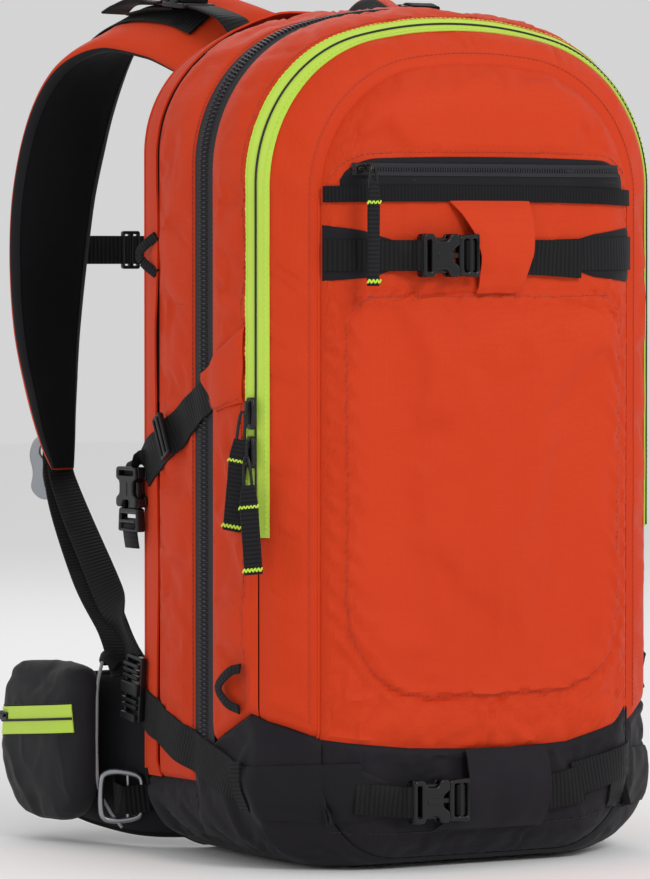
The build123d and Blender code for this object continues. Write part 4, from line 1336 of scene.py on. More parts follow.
finish_piece(stitches("base_low_stitch", lay(line[:, :3], line[:, 3:], 0.1, 1), line[:, 3:], BLACK_THREAD),
             "pack")


def corner_places(hand, z_at, start_y, end_x, count=46):
    """Places that run from the side round the corner to the front; z_at gives the height."""
    ys = np.linspace(start_y, SEAM_Y + 2, int(count * 0.7))
    a, an = side_places(hand, ys, z_at(ys))
    xs = hand * np.linspace(117.0, end_x, int(count * 0.3))
    b, bn = front_places(xs, z_at(0 * xs + SEAM_Y - (117 - np.abs(xs))))
    return np.vstack([a, b]), np.vstack([an, bn])


CORNER_Y = [-95, -74, -45, -25]


def corner_height(share):
    """Gives the height at each depth of the line that is this share of the way up a corner patch."""
    def height(y):
        low = np.interp(y, CORNER_Y, [33, 32, 33, 38])
        high = np.interp(y, CORNER_Y, [71, 70, 68, 66])
        return low + (high - low) * share
    return height


for hand, side_name in ((-1, "left"), (1, "right")):
    rows = []
    for t in np.linspace(0, 1, 9):
        p, n = corner_places(hand, corner_height(t), -28, 96)
        rows.append(lay(p, n, 2.4 if 0 < t < 1 else 1.4, ease=2))
    grid = np.stack(rows)
    panel(f"corner_patch_{side_name}", grid, "pack", PATCH_CLOTH, thick=1.6)
    p, n = side_line(hand, [(-29, 70), (-30, 54), (-31, 38)])
    ribbon(f"corner_keeper_{side_name}", p, n, 10, [3.4, 4.4, 3.4], GREY_WEBBING, thick=2.0)
    p, n = side_line(hand, [(103, 95), (80, 88), (50, 79), (20, 70), (-10, 61), (-34, 55)])
    ribbon(f"wing_strap_{side_name}", p, n, [27, 27, 27, 26, 25, 24], 1.8, GREY_WEBBING, thick=1.6,
           replaced=("lower_wing_straps",) if hand < 0 else ())

# %% [markdown]
# ## Side straps
# An orange tab caught in the lime zipper's seam holds a compression strap. It crosses the main
# zipper, goes through a slide and ends in a buckle that hangs off the back edge.
# %% Tabs, webbing, loops and buckles
for hand, side_name in ((-1, "left"), (1, "right")):
    first = hand < 0
    p, n = side_line(hand, [(-2, 313), (22, 300), (48, 284), (70, 273), (88, 264), (101, 256)])
    ribbon(f"side_webbing_{side_name}", p, n, [22, 23, 24, 25, 27, 29], [1.5, 2.2, 2.2, 2, 2, 1.6], WEBBING,
           thick=1.6,
           replaced=("side_straps",) if first else ())
    y = np.linspace(-36, 17, 22)
    side_patch(f"side_tab_{side_name}", hand, y, np.interp(y, [-36, -5, 17], [303, 296, 317]),
               np.interp(y, [-36, -28, 17], [352, 347, 320]), 3.2, ORANGE, tuck=1.3,
               replaced=("side_tabs",) if first else ())
    outline_y = [13, -5, -33]
    outline_z = [318, 299, 305.5]
    p, n = side_line(hand, list(zip(outline_y, outline_z)))
    line = curve_points(np.hstack([p, n]), 60)
    finish_piece(stitches(f"side_tab_stitch_{side_name}",
                          lay(line[:, :3], line[:, 3:], 3.0 if first else 3.2), line[:, 3:],
                          ORANGE_THREAD), "pack")
    p, n = side_places(hand, np.array([60.0]), np.array([278.5]))
    place = plane_matrix(lay(p, n, 3.6)[0], (0, 0.86, -0.5), n[0])
    triglide(f"side_slide_{side_name}", place, 12, 31, "pack", thick=4.0)
    buckle_place = plane_matrix((hand * 152.2, 112, 243), (0, 0, -1), (hand, 0, 0))
    receiver(f"side_receiver_{side_name}", buckle_place, "pack", ("side_buckle_females",) if first else ())
    plug(f"side_plug_{side_name}", buckle_place, f"side_male_{side_name}", (f"side_buckle_male_{side_name}",))
    tail = strip(f"side_plug_tail_{side_name}",
                 [(hand * 157, 112, 222), (hand * 158.6, 112, 216), (hand * 158, 112, 209),
                                                 (hand * 156.8, 112, 202)], (0, 1, 0), 19, 1.5, WEBBING, 1.5)
    finish_piece(tail, f"side_male_{side_name}")
    link = strip(f"side_receiver_webbing_{side_name}", [(hand * 151.5, 99, 259), (hand * 152.5, 104, 259),
                                                        (hand * 154.5, 109, 258), (hand * 157.5, 112, 255),
                                                        (hand * 157, 112, 250.5)],
                 [(0, 0.5, -0.85), (0, 0.8, -0.5), (0, 1, 0), (0, 1, 0), (0, 1, 0)], 19, 1.5, WEBBING, 1.5)
    finish_piece(link, "pack")
    lock_place = plane_matrix((hand * 153.6, 110, 108), (0, 0.12, -1), (hand, 0, 0))
    ladder_lock(f"lower_lock_{side_name}", lock_place, 44, 22, "pack", ridges=(-16, -12, -8, 8, 12),
                replaced=("lower_ladder_locks",) if first else (),
                thick=8)
    loop = strip(f"gear_loop_{side_name}",
                 [(hand * 155.5, -34, 131), (hand * 160, -27, 128), (hand * 163.5, -19, 118),
                                            (hand * 160, -24, 108), (hand * 155.5, -33, 104)],
                 [(0, 0.9, 0.4), (0, 0.9, 0.4), (0, 1, 0), (0, 0.9, -0.4), (0, 0.9, -0.4)], 8, 1.6,
                 GREY_WEBBING, 1.5)
    finish_piece(loop, "pack", None, ("gear_loops",) if first else ())
    edge = strip(f"edge_loop_{side_name}",
                 [(hand * 154.5, 82, 411), (hand * 157.5, 92, 405), (hand * 158.6, 99, 398.5),
                                            (hand * 157.5, 92, 392), (hand * 154.5, 82, 386)],
                 [(0, -0.5, 0.85), (0, -0.5, 0.85), (0.3 * hand, 1, 0), (0, 0.5, 0.85), (0, 0.5, 0.85)], 6.5,
                 1.5, GREY_WEBBING, 1.2)
    finish_piece(edge, "pack", None, ("edge_loops",) if first else ())

# %% [markdown]
# ## Sliders and pulls
# A moulded zip slider is a small wedge with a bridge. Its pull here is a cord loop and a
# folded webbing tab, closed with dense rows of lime thread.
# %% Sliders


def zip_slider(name, placing, body, scale=1.0, replaced=()):
    """A slider, its nose towards +y of its placing."""
    s = scale
    wedge = rounded([(-3 * s, -8.5 * s), (3 * s, -8.5 * s), (4.3 * s, 3 * s), (3 * s, 8.8 * s),
                     (-3 * s, 8.8 * s), (-4.3 * s, 3 * s)], 1.6 * s)
    bridge = rounded([(-1.4 * s, -6 * s), (1.4 * s, -6 * s), (1.4 * s, 7 * s), (-1.4 * s, 7 * s)], 1.0 * s)
    parts = [plate("wedge", [wedge], 2.6 * s, placing, 0.8 * s, 0.0),
             plate("bridge", [bridge], 1.8 * s, placing, 0.7 * s, 3.2 * s),
             plate("post", [rounded([(-1.3 * s, 2 * s), (1.3 * s, 2 * s), (1.3 * s, 6.8 * s),
                                     (-1.3 * s, 6.8 * s)], 0.6)], 2.4 * s, placing, 0.4 * s, 1.6 * s)]
    return finish_piece(join(name, parts), body, BLACK_METAL, replaced)


def webbing_pull(name, start, end, out, body, width, replaced, cord=24.0):
    """A cord loop from start, then a folded webbing tab down to end, with two bartacks."""
    start, end, out = (np.array(v, float) for v in (start, end, out))
    out = unit(out)
    along = unit(end - start)
    side = unit(np.cross(out, along))
    length = np.linalg.norm(end - start)
    loop = [start + side * 1.2 - along * 2, start + along * cord * 0.3 + side * 2.4,
            start + along * cord + side * 2.6,
            start + along * (cord + 3), start + along * cord - side * 2.6,
            start + along * cord * 0.3 - side * 2.4,
            start - side * 1.2 - along * 2]
    ring = tube(name + "_cord", loop, 1.05, BLACK_METAL, closed=True)
    finish_piece(ring, body, None, replaced)
    p = [start + along * (cord - 8), start + along * (cord + 4) + out * 0.6,
         start + along * (length * 0.6) + out * 0.4, end]
    tab = strip(name, p, side, [width * 0.7, width, width, width], 2.4, GREY_WEBBING, 2.0)
    finish_piece(tab, body)
    for k, share in enumerate((cord + 6, length - 3)):
        bartack(f"{name}_tack_{k + 1}", start + along * share + out * 1.1, along, out, width, body)


for level, y_slide, z_slide, y_pull, z_pull, y_end, z_end in (
        ("upper", -45, 296, -44, 295, -30, 220), ("lower", -45, 271, -49, 266, -59, 193)):
    place = plane_matrix((-151.9, y_slide, z_slide), (0, -1, 0), (-1, 0, 0))
    zip_slider(f"lime_slider_{level}", place, f"lime_slider_{level}", scale=1.2,
               replaced=(f"lime_slider_{level}",))
    webbing_pull(f"lime_pull_{level}", (-159.0, y_pull, z_pull), (-159.4, y_end, z_end), (-0.8, -0.6, 0),
                 f"lime_pull_{level}", 12.5,
                 (f"lime_pull_{level}",))
place = plane_matrix((156.9, 17, 130), (0, 1, 0), (1, 0, 0))
zip_slider("main_slider", place, "main_slider", replaced=("main_slider",))
webbing_pull("main_pull", (163.6, 17, 130), (163.6, 17, 86), (1, 0, 0), "main_pull", 9, ("main_pull",),
             cord=14)

slider_low, slider_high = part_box("top_pocket_slider")
pull_low, pull_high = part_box("top_pocket_pull")
TOP_X = (slider_low.x + slider_high.x) / 2 / MM
PULL_Y = (pull_low.y + pull_high.y) / 2 / MM
place = plane_matrix((TOP_X, -94.2, 453.4), (0, 0, 1), (0, -1, 0))
zip_slider("top_slider", place, "top_slider", scale=0.85, replaced=("top_pocket_slider",))
ring = tube("top_slider_ring", [(TOP_X, -97.5, 455), (TOP_X, -101, 456.5), (TOP_X, -105, 455),
                                (TOP_X, -106, 452.0), (TOP_X, -102, 451)],
            0.9, BLACK_METAL, closed=True)
finish_piece(ring, "top_slider")
webbing_pull("top_pull", (TOP_X, PULL_Y, 453), (TOP_X, PULL_Y, 378.5), (0, -1, 0), "top_pull", 8.5,
             ("top_pocket_pull",), cord=15)

# %% [markdown]
# ## Padded pieces
# Shoulder straps and hip wings are foam between a cloth cover and a soft lining, edged with
# binding. Each is swept along its middle line with a section that is full in the middle and
# thin at the edges. The back pads and the pocket are swollen with a short cloth simulation
# under pressure, and its movement is cut off in the same way. The straps and wings aren't.
# %% Sweeping and swelling


def sweep(path, widths, thick, across, angles, taper=0.12, count=90, grow=1.0, seed=0.0, wrinkle=0.9):
    """Points of part of a padded strip's section, angle by angle, along its middle line."""
    p = np.array(path, float)
    every = curve_points(np.hstack([p, spread(widths, len(p))]), count)
    centre, wide = every[:, :3], every[:, 3]
    along = unit(np.gradient(centre, axis=0))
    t = np.linspace(0, 1, count)
    leans = np.atleast_2d(np.array(across, float))
    lean = np.stack([np.interp(t, np.linspace(0, 1, len(leans)), leans[:, k]) for k in range(3)], 1)
    side = unit(lean - along * np.sum(along * lean, 1, keepdims=True))
    out = -np.cross(along, side)
    full = thick * (0.25 + 0.75 * np.clip(np.minimum(t, 1 - t) / taper, 0, 1) ** 0.5)
    c, s = np.cos(angles), np.sin(angles)
    a = np.sign(c) * np.abs(c) ** 0.55 * 0.5 * grow
    b = np.sign(s) * np.abs(s) ** 0.75 * 0.5 * grow
    grid = (centre[None] + side[None] * a[:, None, None] * wide[None, :, None]
            + out[None] * b[:, None, None] * full[None, :, None])
    fold = creases(grid, seed) * wrinkle * np.abs(s)[:, None] * np.clip(np.minimum(t, 1 - t) / 0.05, 0, 1)
    return grid + out[None] * np.sign(s)[:, None, None] * fold[..., None], centre, side, out


def swollen(piece, pressure=4.0, voxel=4.5, cap=7.0, frames=20):
    """Remeshes a closed piece and blows it up a little as cloth, no point further than cap."""
    apply_modifier(piece, "REMESH", mode="VOXEL", voxel_size=voxel * MM)
    rest = np.empty(len(piece.data.vertices) * 3)
    piece.data.vertices.foreach_get("co", rest)
    only(piece)
    cloth = piece.modifiers.new("Cloth", "CLOTH")
    cloth.settings.use_pressure = True
    cloth.settings.uniform_pressure_force = pressure
    cloth.settings.effector_weights.gravity = 0
    cloth.settings.quality = 4
    for frame_number in range(1, frames + 1):
        bpy.context.scene.frame_set(frame_number)
    view = piece.evaluated_get(bpy.context.evaluated_depsgraph_get())
    moved = np.empty_like(rest)
    view.data.vertices.foreach_get("co", moved)
    piece.modifiers.remove(cloth)
    bpy.context.scene.frame_set(1)
    shift = (moved - rest).reshape(-1, 3)
    length = np.linalg.norm(shift, axis=1, keepdims=True)
    shift *= np.minimum(1, cap * MM / np.maximum(length, 1e-9))
    piece.data.vertices.foreach_set("co", (rest.reshape(-1, 3) + shift).ravel())
    piece.data.update()
    print(piece.name, "swelled by up to", round(float(length.max() / MM), 1), "mm")
    apply_modifier(piece, "SUBSURF", levels=1, render_levels=1)
    smooth(piece, 70)
    return piece


def tree_of(piece):
    return BVHTree.FromPolygons([v.co / MM for v in piece.data.vertices],
                                [tuple(f.vertices) for f in piece.data.polygons])


def drop_on(tree, points, direction, lift, reach=40):
    """Drops points along one direction onto a piece, and lifts them back off it."""
    way = Vector(direction).normalized()
    flat = []
    for p in points.reshape(-1, 3):
        hit = tree.ray_cast(Vector(p) - way * reach, way, reach * 2)
        flat.append(tuple(hit[0] - way * lift) if hit[0] is not None else tuple(p))
    return np.array(flat).reshape(points.shape)


def closed_from_rings(name, rings):
    """A closed piece from rings of equal length, first and last ring filled."""
    rings = np.array(rings)
    count, n = rings.shape[:2]
    faces = [(i * n + k, i * n + (k + 1) % n, (i + 1) * n + (k + 1) % n, (i + 1) * n + k)
             for i in range(count - 1) for k in range(n)]
    faces += [tuple(range(n))[::-1], tuple((count - 1) * n + k for k in range(n))]
    mesh = bpy.data.meshes.new(name)
    mesh.from_pydata((rings.reshape(-1, 3) * MM).tolist(), [], faces)
    piece = bpy.data.objects.new(name, mesh)
    bpy.context.scene.collection.objects.link(piece)
    outward(piece)
    return piece


# %% [markdown]
# ## Shoulder straps
# Orange cloth outside, black spacer mesh against the shoulder, and a binding that holds both.
# %% Straps
SHOULDER = [(78, 103, 536), (84, 134, 546), (92, 170, 556), (102, 210, 555), (112, 246, 535), (119, 271, 500),
            (125, 286, 450), (129, 290, 400), (134, 283, 345), (138, 268, 300), (139, 257, 268),
            (139, 249, 250)]
SHOULDER_WIDTHS = [74, 72, 70, 68, 66, 65, 64, 60, 50, 37, 26, 17]

for hand, side_name in ((-1, "left"), (1, "right")):
    body = f"shoulder_{side_name}"
    path = [(hand * x, y, z) for x, y, z in SHOULDER]
    lean = [(0.72, 0, -0.7 * hand), (0.8, 0, -0.6 * hand), (0.93, 0, -0.35 * hand), (1, 0, 0), (1, 0, 0),
            (1, 0, 0), (1, 0, 0)]
    grid, centre, side, out = sweep(path, SHOULDER_WIDTHS, 13, lean, np.linspace(-0.35, np.pi + 0.35, 26),
                                    seed=71 + hand)
    cover = from_grid(f"shoulder_cover_{side_name}", grid)
    face_away(cover, (hand * 105, 170, 430))
    apply_modifier(cover, "SOLIDIFY", thickness=1.0 * MM, offset=-1.0)
    smooth(cover, 60)
    finish_piece(cover, body, ORANGE, (f"shoulder_strap_{side_name}",))
    grid, *_ = sweep(path, SHOULDER_WIDTHS, 13.6, lean, np.linspace(np.pi + 0.12, 2 * np.pi - 0.12, 22),
                     seed=75 + hand,
                     grow=0.985)
    lining = from_grid(f"shoulder_lining_{side_name}", grid)
    if sum(f.area * f.normal.dot(f.center - Vector((hand * 0.105, 0.17,
                                                    0.43))) for f in lining.data.polygons) > 0:
        lining.data.flip_normals()
    apply_modifier(lining, "SOLIDIFY", thickness=1.0 * MM, offset=-1.0)
    smooth(lining, 60)
    finish_piece(lining, body, MESH_CLOTH)
    for edge, low, high in (("inner", np.pi + 0.02, np.pi + 0.75),
                            ("outer", 2 * np.pi - 0.75, 2 * np.pi - 0.02)):
        grid, *_ = sweep(path, SHOULDER_WIDTHS, 14.4, lean, np.linspace(low, high, 7), seed=75 + hand,
                         grow=1.012)
        binding = from_grid(f"shoulder_binding_{edge}_{side_name}", grid)
        if sum(f.area * f.normal.dot(f.center - Vector((hand * 0.105, 0.17,
                                                        0.43))) for f in binding.data.polygons) > 0:
            binding.data.flip_normals()
        apply_modifier(binding, "SOLIDIFY", thickness=1.0 * MM, offset=-1.0)
        smooth(binding, 60)
        finish_piece(binding, body, PATCH_CLOTH)
    daisy = [centre[i] + out[i] * 8.5 for i in range(8, 84, 4)]
    rail = strip(f"shoulder_rail_{side_name}", daisy, [tuple(side[i]) for i in range(8, 84, 4)], 20, 1.4,
                 WEBBING, 3)
    finish_piece(rail, body)

    lifter = [(hand * 80, 99, 549), (hand * 84, 108, 558), (hand * 88, 128, 564.5), (hand * 91, 146, 568)]
    first = strip(f"load_lifter_webbing_{side_name}", lifter, (1, 0, 0), 22, 1.8, WEBBING, 2)
    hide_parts(f"load_lifter_{side_name}")
    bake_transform(first)
    lock = plane_matrix((hand * 92, 152, 566.5), (hand * 0.12, 1, 0.1), (0, -0.1, 1))
    ladder_lock(f"load_lifter_lock_{side_name}", lock, 26, 28, body, thick=6)
    tail = strip(f"load_lifter_tail_{side_name}",
                 [(hand * 91.5, 143, 571), (hand * 93, 156, 573.6), (hand * 97, 176, 571.5),
                                                   (hand * 101, 200, 573), (hand * 104, 222, 571),
                                                   (hand * 105, 236, 566)],
                 [(1, 0, 0), (1, 0, 0), (1, 0.1, 0.1), (1, 0, -0.15), (1, 0, 0.1), (1, 0, 0)], 21, 1.8,
                 WEBBING, 2)
    finish_piece(tail, body)
    low = strip(f"load_lifter_anchor_{side_name}",
                [(hand * 92, 158, 566), (hand * 97, 180, 566.5), (hand * 102, 206, 563.5)],
                (1, 0, 0), 22, 1.8, WEBBING, 2)
    finish_piece(low, body)

    way = [(hand * 138, 258.5, 274), (hand * 137, 262, 256), (hand * 139, 243, 224), (hand * 144, 196, 176),
           (hand * 148, 150, 138), (hand * 149, 128, 116)]
    wide = strip(f"lower_webbing_{side_name}", way,
                 [(0.9 * hand, 0.25, 0), (0.9 * hand, 0.25, 0), (0.9 * hand, 0.3, 0), (0.7 * hand, 0.6, 0.3),
                                                     (0.45 * hand, 0.6, 0.6), (0.3 * hand, 0.7, 0.6)],
                                                     [18, 20, 25, 27, 28, 28],
                 1.8, GREY_WEBBING, 2.5)
    if hand < 0:
        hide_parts("lower_webbings")
    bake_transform(wide)
    way = [(hand * 137, 257, 262), (hand * 137, 256, 248), (hand * 141, 227, 221), (hand * 147, 176, 180),
           (hand * 152, 134, 144), (hand * 155, 114, 124)]
    thin = strip(f"lower_webbing_loop_{side_name}", way,
                 [(0.9 * hand, 0.25, 0), (0.9 * hand, 0.25, 0), (0.8 * hand, 0.4, 0), (0.5 * hand, 0.7, 0.2),
                                                          (0.2, 0.9, 0.3), (0, 1, 0.3)],
                                                          [14, 18, 20, 21, 21, 20], 1.8, WEBBING, 2.5)
    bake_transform(thin)

# %% Strap hook
hook_place = plane_matrix((-138, 271, 250), (-0.62, 0.78, 0), (-0.78, -0.62, 0))
hook_line = rounded([(-15, -22), (11, -22), (16, -9), (12, 4), (15, 15), (7, 23), (-10, 21), (-16, 6)],
                    [7, 6, 6, 6, 5, 6, 7, 8])
hook_hole = rounded([(-8, -16), (6, -16), (7, -10), (3, -5), (-7, -5)], 2)
hook = plate("strap_hook", [hook_line, hook_hole], 3.2, hook_place, 1.3, -1.6)
finish_piece(hook, "shoulder_left", SILVER, ("strap_hook",))
hook_band = strip("strap_hook_band", [(-137, 262, 262), (-136, 266, 254), (-135, 269, 246), (-135, 266, 238)],
                  (0.9, -0.4, 0), 17, 2.2,
                  WEBBING, 2)
finish_piece(hook_band, "shoulder_left")

# %% Sternum strap
STERNUM = (-16, 298.5, 402)
place = plane_matrix(STERNUM, (1, 0, 0), (0, 1, 0))
receiver("sternum_receiver", place, "sternum", ("sternum_buckle_female",))
plug("sternum_plug", place, "sternum_male", ("sternum_buckle_male",))
left_web = strip("sternum_webbing_left", [(-140, 299.6, 402), (-90, 300.6, 402), (-40, 300.4, 402),
                                          (-28.6, 305.4, 402), (-26.4, 301, 402)],
                 (0, 0, 1), 20, 1.8, WEBBING, 2)
finish_piece(left_web, "sternum", None, ("sternum_webbing_left",))
right_web = strip("sternum_webbing_right",
                  [(4, 301, 402), (6.4, 305.0, 402), (12, 301, 402), (70, 300.4, 402), (140, 299.6, 402)],
                  (0, 0, 1), 20, 1.8, WEBBING, 2)
finish_piece(right_web, "sternum_male", None, ("sternum_webbing_right",))
triglide("sternum_slide", plane_matrix((-58, 299.0, 402), (1, 0, 0), (0, 1, 0)), 14, 27, "sternum", thick=4.2)
triglide("sternum_rail_slide", plane_matrix((-128, 297.6, 402), (0, 0, 1), (0, 1, 0)), 24, 24, "sternum",
         thick=3.6)

# %% [markdown]
# ## Back panel, pads and haul handle
# The wearer's side is black spacer mesh. Two tall pads, sewn across into cushions, keep the
# frame off the spine, and a webbing handle hangs at the top.
# %% Back
back_x, back_z = outline(np.full(500, BACK_Y), np.linspace(0, 1, 500))
x = 150 * np.sin(np.linspace(-np.pi / 2, np.pi / 2, 70)) * 0.992
order = np.argsort(back_x[:250])
high = np.interp(np.abs(x), back_x[:250][order], back_z[:250][order]) - 1.0
low_half = np.argsort(back_x[300:])
low = np.interp(np.abs(x), back_x[300:][low_half], back_z[300:][low_half]) + 1.0
xx, zz = front_patch_grid(x, low, high, 120)
edge = np.minimum(np.minimum(zz - low[None], high[None] - zz), (150 - np.abs(xx)))
p = np.stack([xx, 103.2 + 1.6 * np.clip(edge / 18, 0, 1)
              + creases(np.stack([xx, 0 * xx, zz], -1), 91) * 0.25 * np.clip(edge / 20, 0, 1), zz], -1)
panel("back_mesh", p, "pack", MESH_CLOTH, replaced=("back_panel",))
line = np.stack([np.concatenate([-back_x[::-1], back_x]), np.full(1000, BACK_Y + 0.2),
                 np.concatenate([back_z[::-1], back_z])], 1)
edge = line[::6]
edge = np.roll(edge, -int(np.argmin(edge[:, 2])), axis=0)
foot = np.flatnonzero(edge[:, 2] >= 52)
finish_piece(tube("back_edge_binding", edge[foot[0]:foot[-1]], 1.7, ORANGE, spacing=4), "pack")
low_edge = np.concatenate([edge[foot[-1] - 1:], edge[:foot[0] + 1]])
finish_piece(tube("back_foot_binding", low_edge, 1.7, BINDING, spacing=4), "pack")

for hand, side_name in ((-1, "left"), (1, "right")):
    rings = []
    for y, grow in ((104.6, 1.0), (107, 1.02), (111, 1.0), (114, 0.93), (115.5, 0.8)):
        ring = rounded([(-33, -175), (33, -175), (33, 175), (-33, 175)], 22, 8)
        shape = np.array([(x - np.sign(x) * (1 - grow) * 33, z - np.sign(z) * (1 - grow) * 60) for x,
                          z in ring])
        rings.append([(hand * 48 + x, y, 315 + z) for x, z in shape])
    pad = closed_from_rings(f"back_pad_{side_name}", rings)
    swollen(pad, pressure=3.0, voxel=4.5, cap=3.0)
    co = np.empty(len(pad.data.vertices) * 3)
    pad.data.vertices.foreach_get("co", co)
    co = co.reshape(-1, 3) / MM
    raised = np.clip((co[:, 1] - 105.5) / 8, 0, 1)
    for seam_z in (228, 315, 402):
        co[:, 1] -= 6.0 * raised * np.exp(-(((co[:, 2] - seam_z) / 5.5) ** 2))
    co[:, 1] = np.clip(co[:, 1], 104.3, 120)
    pad.data.vertices.foreach_set("co", (co * MM).ravel())
    pad.data.update()
    finish_piece(pad, "pack", PAD_MESH, ("back_pads",) if hand < 0 else ())

ring = [(-31, 107.2, 547), (-33, 107.4, 532), (-31, 107.6, 517), (-20, 107.8, 509.5), (0, 107.8, 508),
        (20, 107.8, 509.5),
        (31, 107.6, 517), (33, 107.4, 532), (31, 107.2, 547)]
radial = [(x, 0, z - 530) for x, y, z in ring]
handle = strip("haul_handle", ring, radial, 11, 3.2, WEBBING, 2)
finish_piece(handle, "haul_handle", None, ("haul_handle",))

# %% [markdown]
# ## Hip wings, the pocket and its fittings
# The wings are foam under black cloth. Only the left one carries a pocket, a soft bag with
# rounded lower corners, a slanting lime zipper and a grey reflective piping at its back edge.
# %% Wings
WING = [(102, 107, 62), (134, 130, 62), (148, 164, 62), (154, 209, 62), (156, 254, 62)]
for hand, side_name in ((-1, "left"), (1, "right")):
    path = [(hand * x, y, z) for x, y, z in WING]
    full_turn = np.linspace(0, 2 * np.pi, 49)
    grid, centre, side, out = sweep(path, [110, 110, 104, 92, 66], 11.5, (0, 0, 1), full_turn, count=60,
                                    seed=81 + hand, taper=0.08)
    rings = [[grid[k, i] for k in range(48)] for i in range(60)]
    wing = closed_from_rings(f"hip_wing_{side_name}", rings)
    apply_modifier(wing, "SUBSURF", levels=1, render_levels=1)
    smooth(wing, 60)
    finish_piece(wing, f"hip_{side_name}", SIDE_CLOTH, (f"hip_wing_{side_name}",))
    top = tube(f"hip_wing_binding_{side_name}", [grid[0, i] for i in range(2, 58, 2)], 2.2, BINDING)
    finish_piece(top, f"hip_{side_name}")
    low = tube(f"hip_wing_binding_low_{side_name}", [grid[24, i] for i in range(2, 58, 2)], 2.2, BINDING)
    finish_piece(low, f"hip_{side_name}")
    place = plane_matrix((hand * 142.2, 232, 62), (0, 1, 0), (hand, 0, 0))
    ladder_lock(f"hip_buckle_{side_name}", place, 42, 44, f"hip_{side_name}",
                (f"hip_buckle_{side_name}",), thick=4)
    belt = strip(f"hip_belt_{side_name}",
                 [(hand * 141.4, 150, 62), (hand * 145.5, 190, 62), (hand * 146.2, 214, 62),
                                           (hand * 143.4, 222, 62)], (0, 0, 1), 36, 2.0, WEBBING, 3)
    finish_piece(belt, f"hip_{side_name}")
    across = unit(np.array([0.9, 0.42 * hand, 0]))
    ring = [(-14, -8), (-14, 8), (-11, 14), (2, 16.5), (11, 15), (13.5, 8), (13.5, -8), (11, -15), (2, -16.5),
            (-11, -14)]
    middle = np.array([hand * 154.5, 133, 33])
    d_line = [tuple(middle + across * u * hand + np.array([0, 0, v])) for u, v in ring]
    d_ring = tube(f"hip_d_ring_{side_name}", d_line, 2.2, SILVER, closed=True, spacing=1.5, sides=12)
    finish_piece(d_ring, f"hip_{side_name}", None, (f"hip_d_ring_{side_name}",))
    foot, head = (middle + across * -4.5 * hand + np.array([0, 0, v]) for v in (-15.5, 15.5))
    bar = tube(f"hip_d_bar_{side_name}", [foot, (foot + head) / 2, head], 1.4, SILVER, spacing=3, sides=12)
    finish_piece(bar, f"hip_{side_name}")
    hold = strip(f"hip_d_webbing_{side_name}",
                 [(hand * 146, 150, 40), (hand * 153, 143, 36), (hand * 158, 134, 33),
                                                (hand * 157, 128, 31), (hand * 150, 126, 31),
                                                (hand * 138, 122, 32)],
                 (0, 0.2, 1), 19, 2.0, WEBBING, 2)
    finish_piece(hold, f"hip_{side_name}")

# %% The pocket
rings = []
for x, grow in ((-163, 0.90), (-166, 0.97), (-170, 1.0), (-177, 1.0), (-183, 0.97), (-187, 0.88),
                (-189, 0.72)):
    line = rounded([(140, 122), (252, 118), (252, 12), (140, 14)], [16, 26, 48, 42], 10)
    middle = np.array([196, 66])
    rings.append([(x, *(middle + (q - middle) * grow)) for q in line])
pocket = closed_from_rings("hip_pocket", rings)
swollen(pocket, pressure=5.0, voxel=4.2, cap=6.0)
co = np.empty(len(pocket.data.vertices) * 3)
pocket.data.vertices.foreach_get("co", co)
co = co.reshape(-1, 3) / MM
folds = creases(co, 97) * 1.3
top_roll = 2.2 * np.exp(-(((co[:, 2] - 106) / 4.5) ** 2)) + 1.2 * np.exp(-(((co[:, 2] - 30) / 6) ** 2))
outer = np.clip((-co[:, 0] - 165) / 8, 0, 1)
co[:, 0] -= (folds - top_roll) * outer
co[:, 2] += creases(co, 99) * 0.8 * (co[:, 2] > 60)
pocket.data.vertices.foreach_set("co", (co * MM).ravel())
pocket.data.update()
finish_piece(pocket, "hip_left", SIDE_CLOTH, ("hip_pocket",))
pocket_tree = tree_of(pocket)


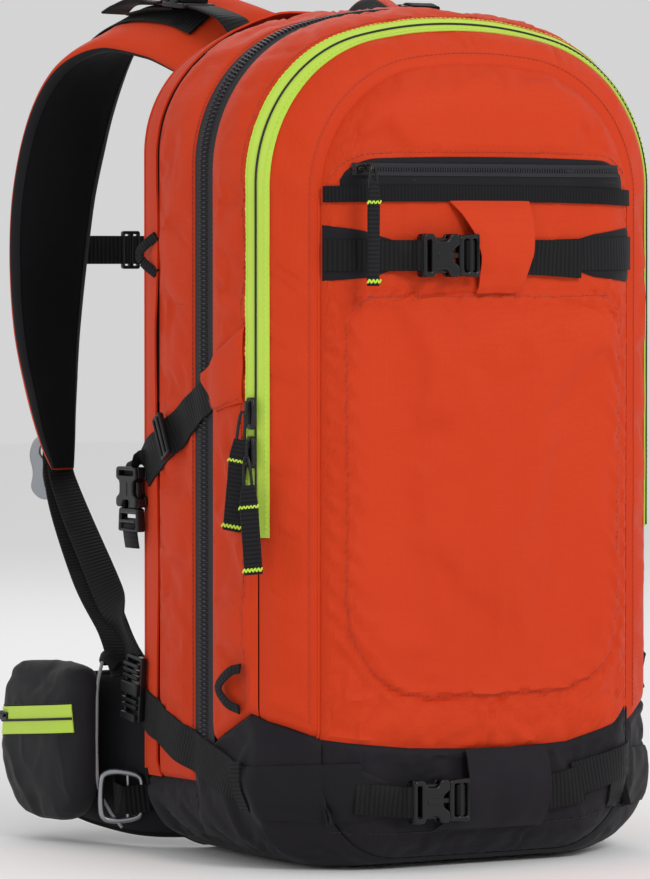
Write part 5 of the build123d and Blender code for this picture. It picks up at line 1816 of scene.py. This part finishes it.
def on_pocket(y, z, lift):
    y, z = np.broadcast_arrays(np.asarray(y, float), np.asarray(z, float))
    return drop_on(pocket_tree, np.stack([np.full(y.shape, -176.0), y, z], -1), (1, 0, 0), lift, 40)


yy = np.linspace(145, 249, 40)[None, :]
tilt = (yy - 145) / 104 * -9.0
zz = 86 + tilt + np.linspace(-9.5, 9.5, 7)[:, None]
panel("hip_zipper_tape", on_pocket(yy + 0 * zz, zz, 1.2), "hip_left", LIME_TAPE, thick=1.0,
      inside=(-150, 196, 66), replaced=("hip_zipper",))
p = on_pocket(yy[0], 86 + tilt[0], 1.5)
coil = tube("hip_zipper_coil", p, 0.9, DARK_TAPE, spacing=4)
finish_piece(coil, "hip_left")
for name, shift in (("upper", 10.5), ("lower", -10.5)):
    p = on_pocket(yy[0], 86 + tilt[0] + shift, 0.1)
    n = np.broadcast_to(np.array([-1.0, 0, 0]), p.shape)
    finish_piece(stitches(f"hip_zipper_stitch_{name}", p, n, BLACK_THREAD), "hip_left")
end = on_pocket(np.array([236.0]), np.array([81.6]), 1.2)[0]
place = plane_matrix(tuple(end + np.array([-0.4, 0, 0])), (0, 0, 1), (-1, 0, 0))
zip_slider("hip_slider", place, "hip_slider", scale=0.8, replaced=("hip_slider",))
line = [(-164, 142, 124), (-168, 141.5, 108), (-169, 141, 84), (-169, 141, 58), (-167, 141.5, 38),
        (-161, 139, 24), (-155, 131, 12)]
finish_piece(tube("hip_piping", line, 1.2, PIPING), "hip_left")
roll = [(-158, 150, 124), (-161, 142, 127.5), (-163, 134, 126), (-160, 128, 121)]
finish_piece(tube("hip_pocket_roll", roll, 4.0, BINDING, sides=16), "hip_left")

# %% [markdown]
# ## What stays inside
# The airbag, its cylinder and valve, and the frame keep their engineering shapes: nobody sees
# them through the closed pack, but each still gets the finish of the real thing.
# %% Finishes for the inner parts
INNER = {"airbag": AIRBAG_CLOTH, "frame_sheet": SHEET_PLASTIC, "stays": SILVER, "gas_cylinder": SILVER,
         "valve": BLACK_METAL}
for name, finish in INNER.items():
    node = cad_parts[name]
    node.data.materials.clear()
    node.data.materials.append(finish)
left = [name for name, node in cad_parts.items() if not node.hide_render]
print("CAD nodes still showing:", left)
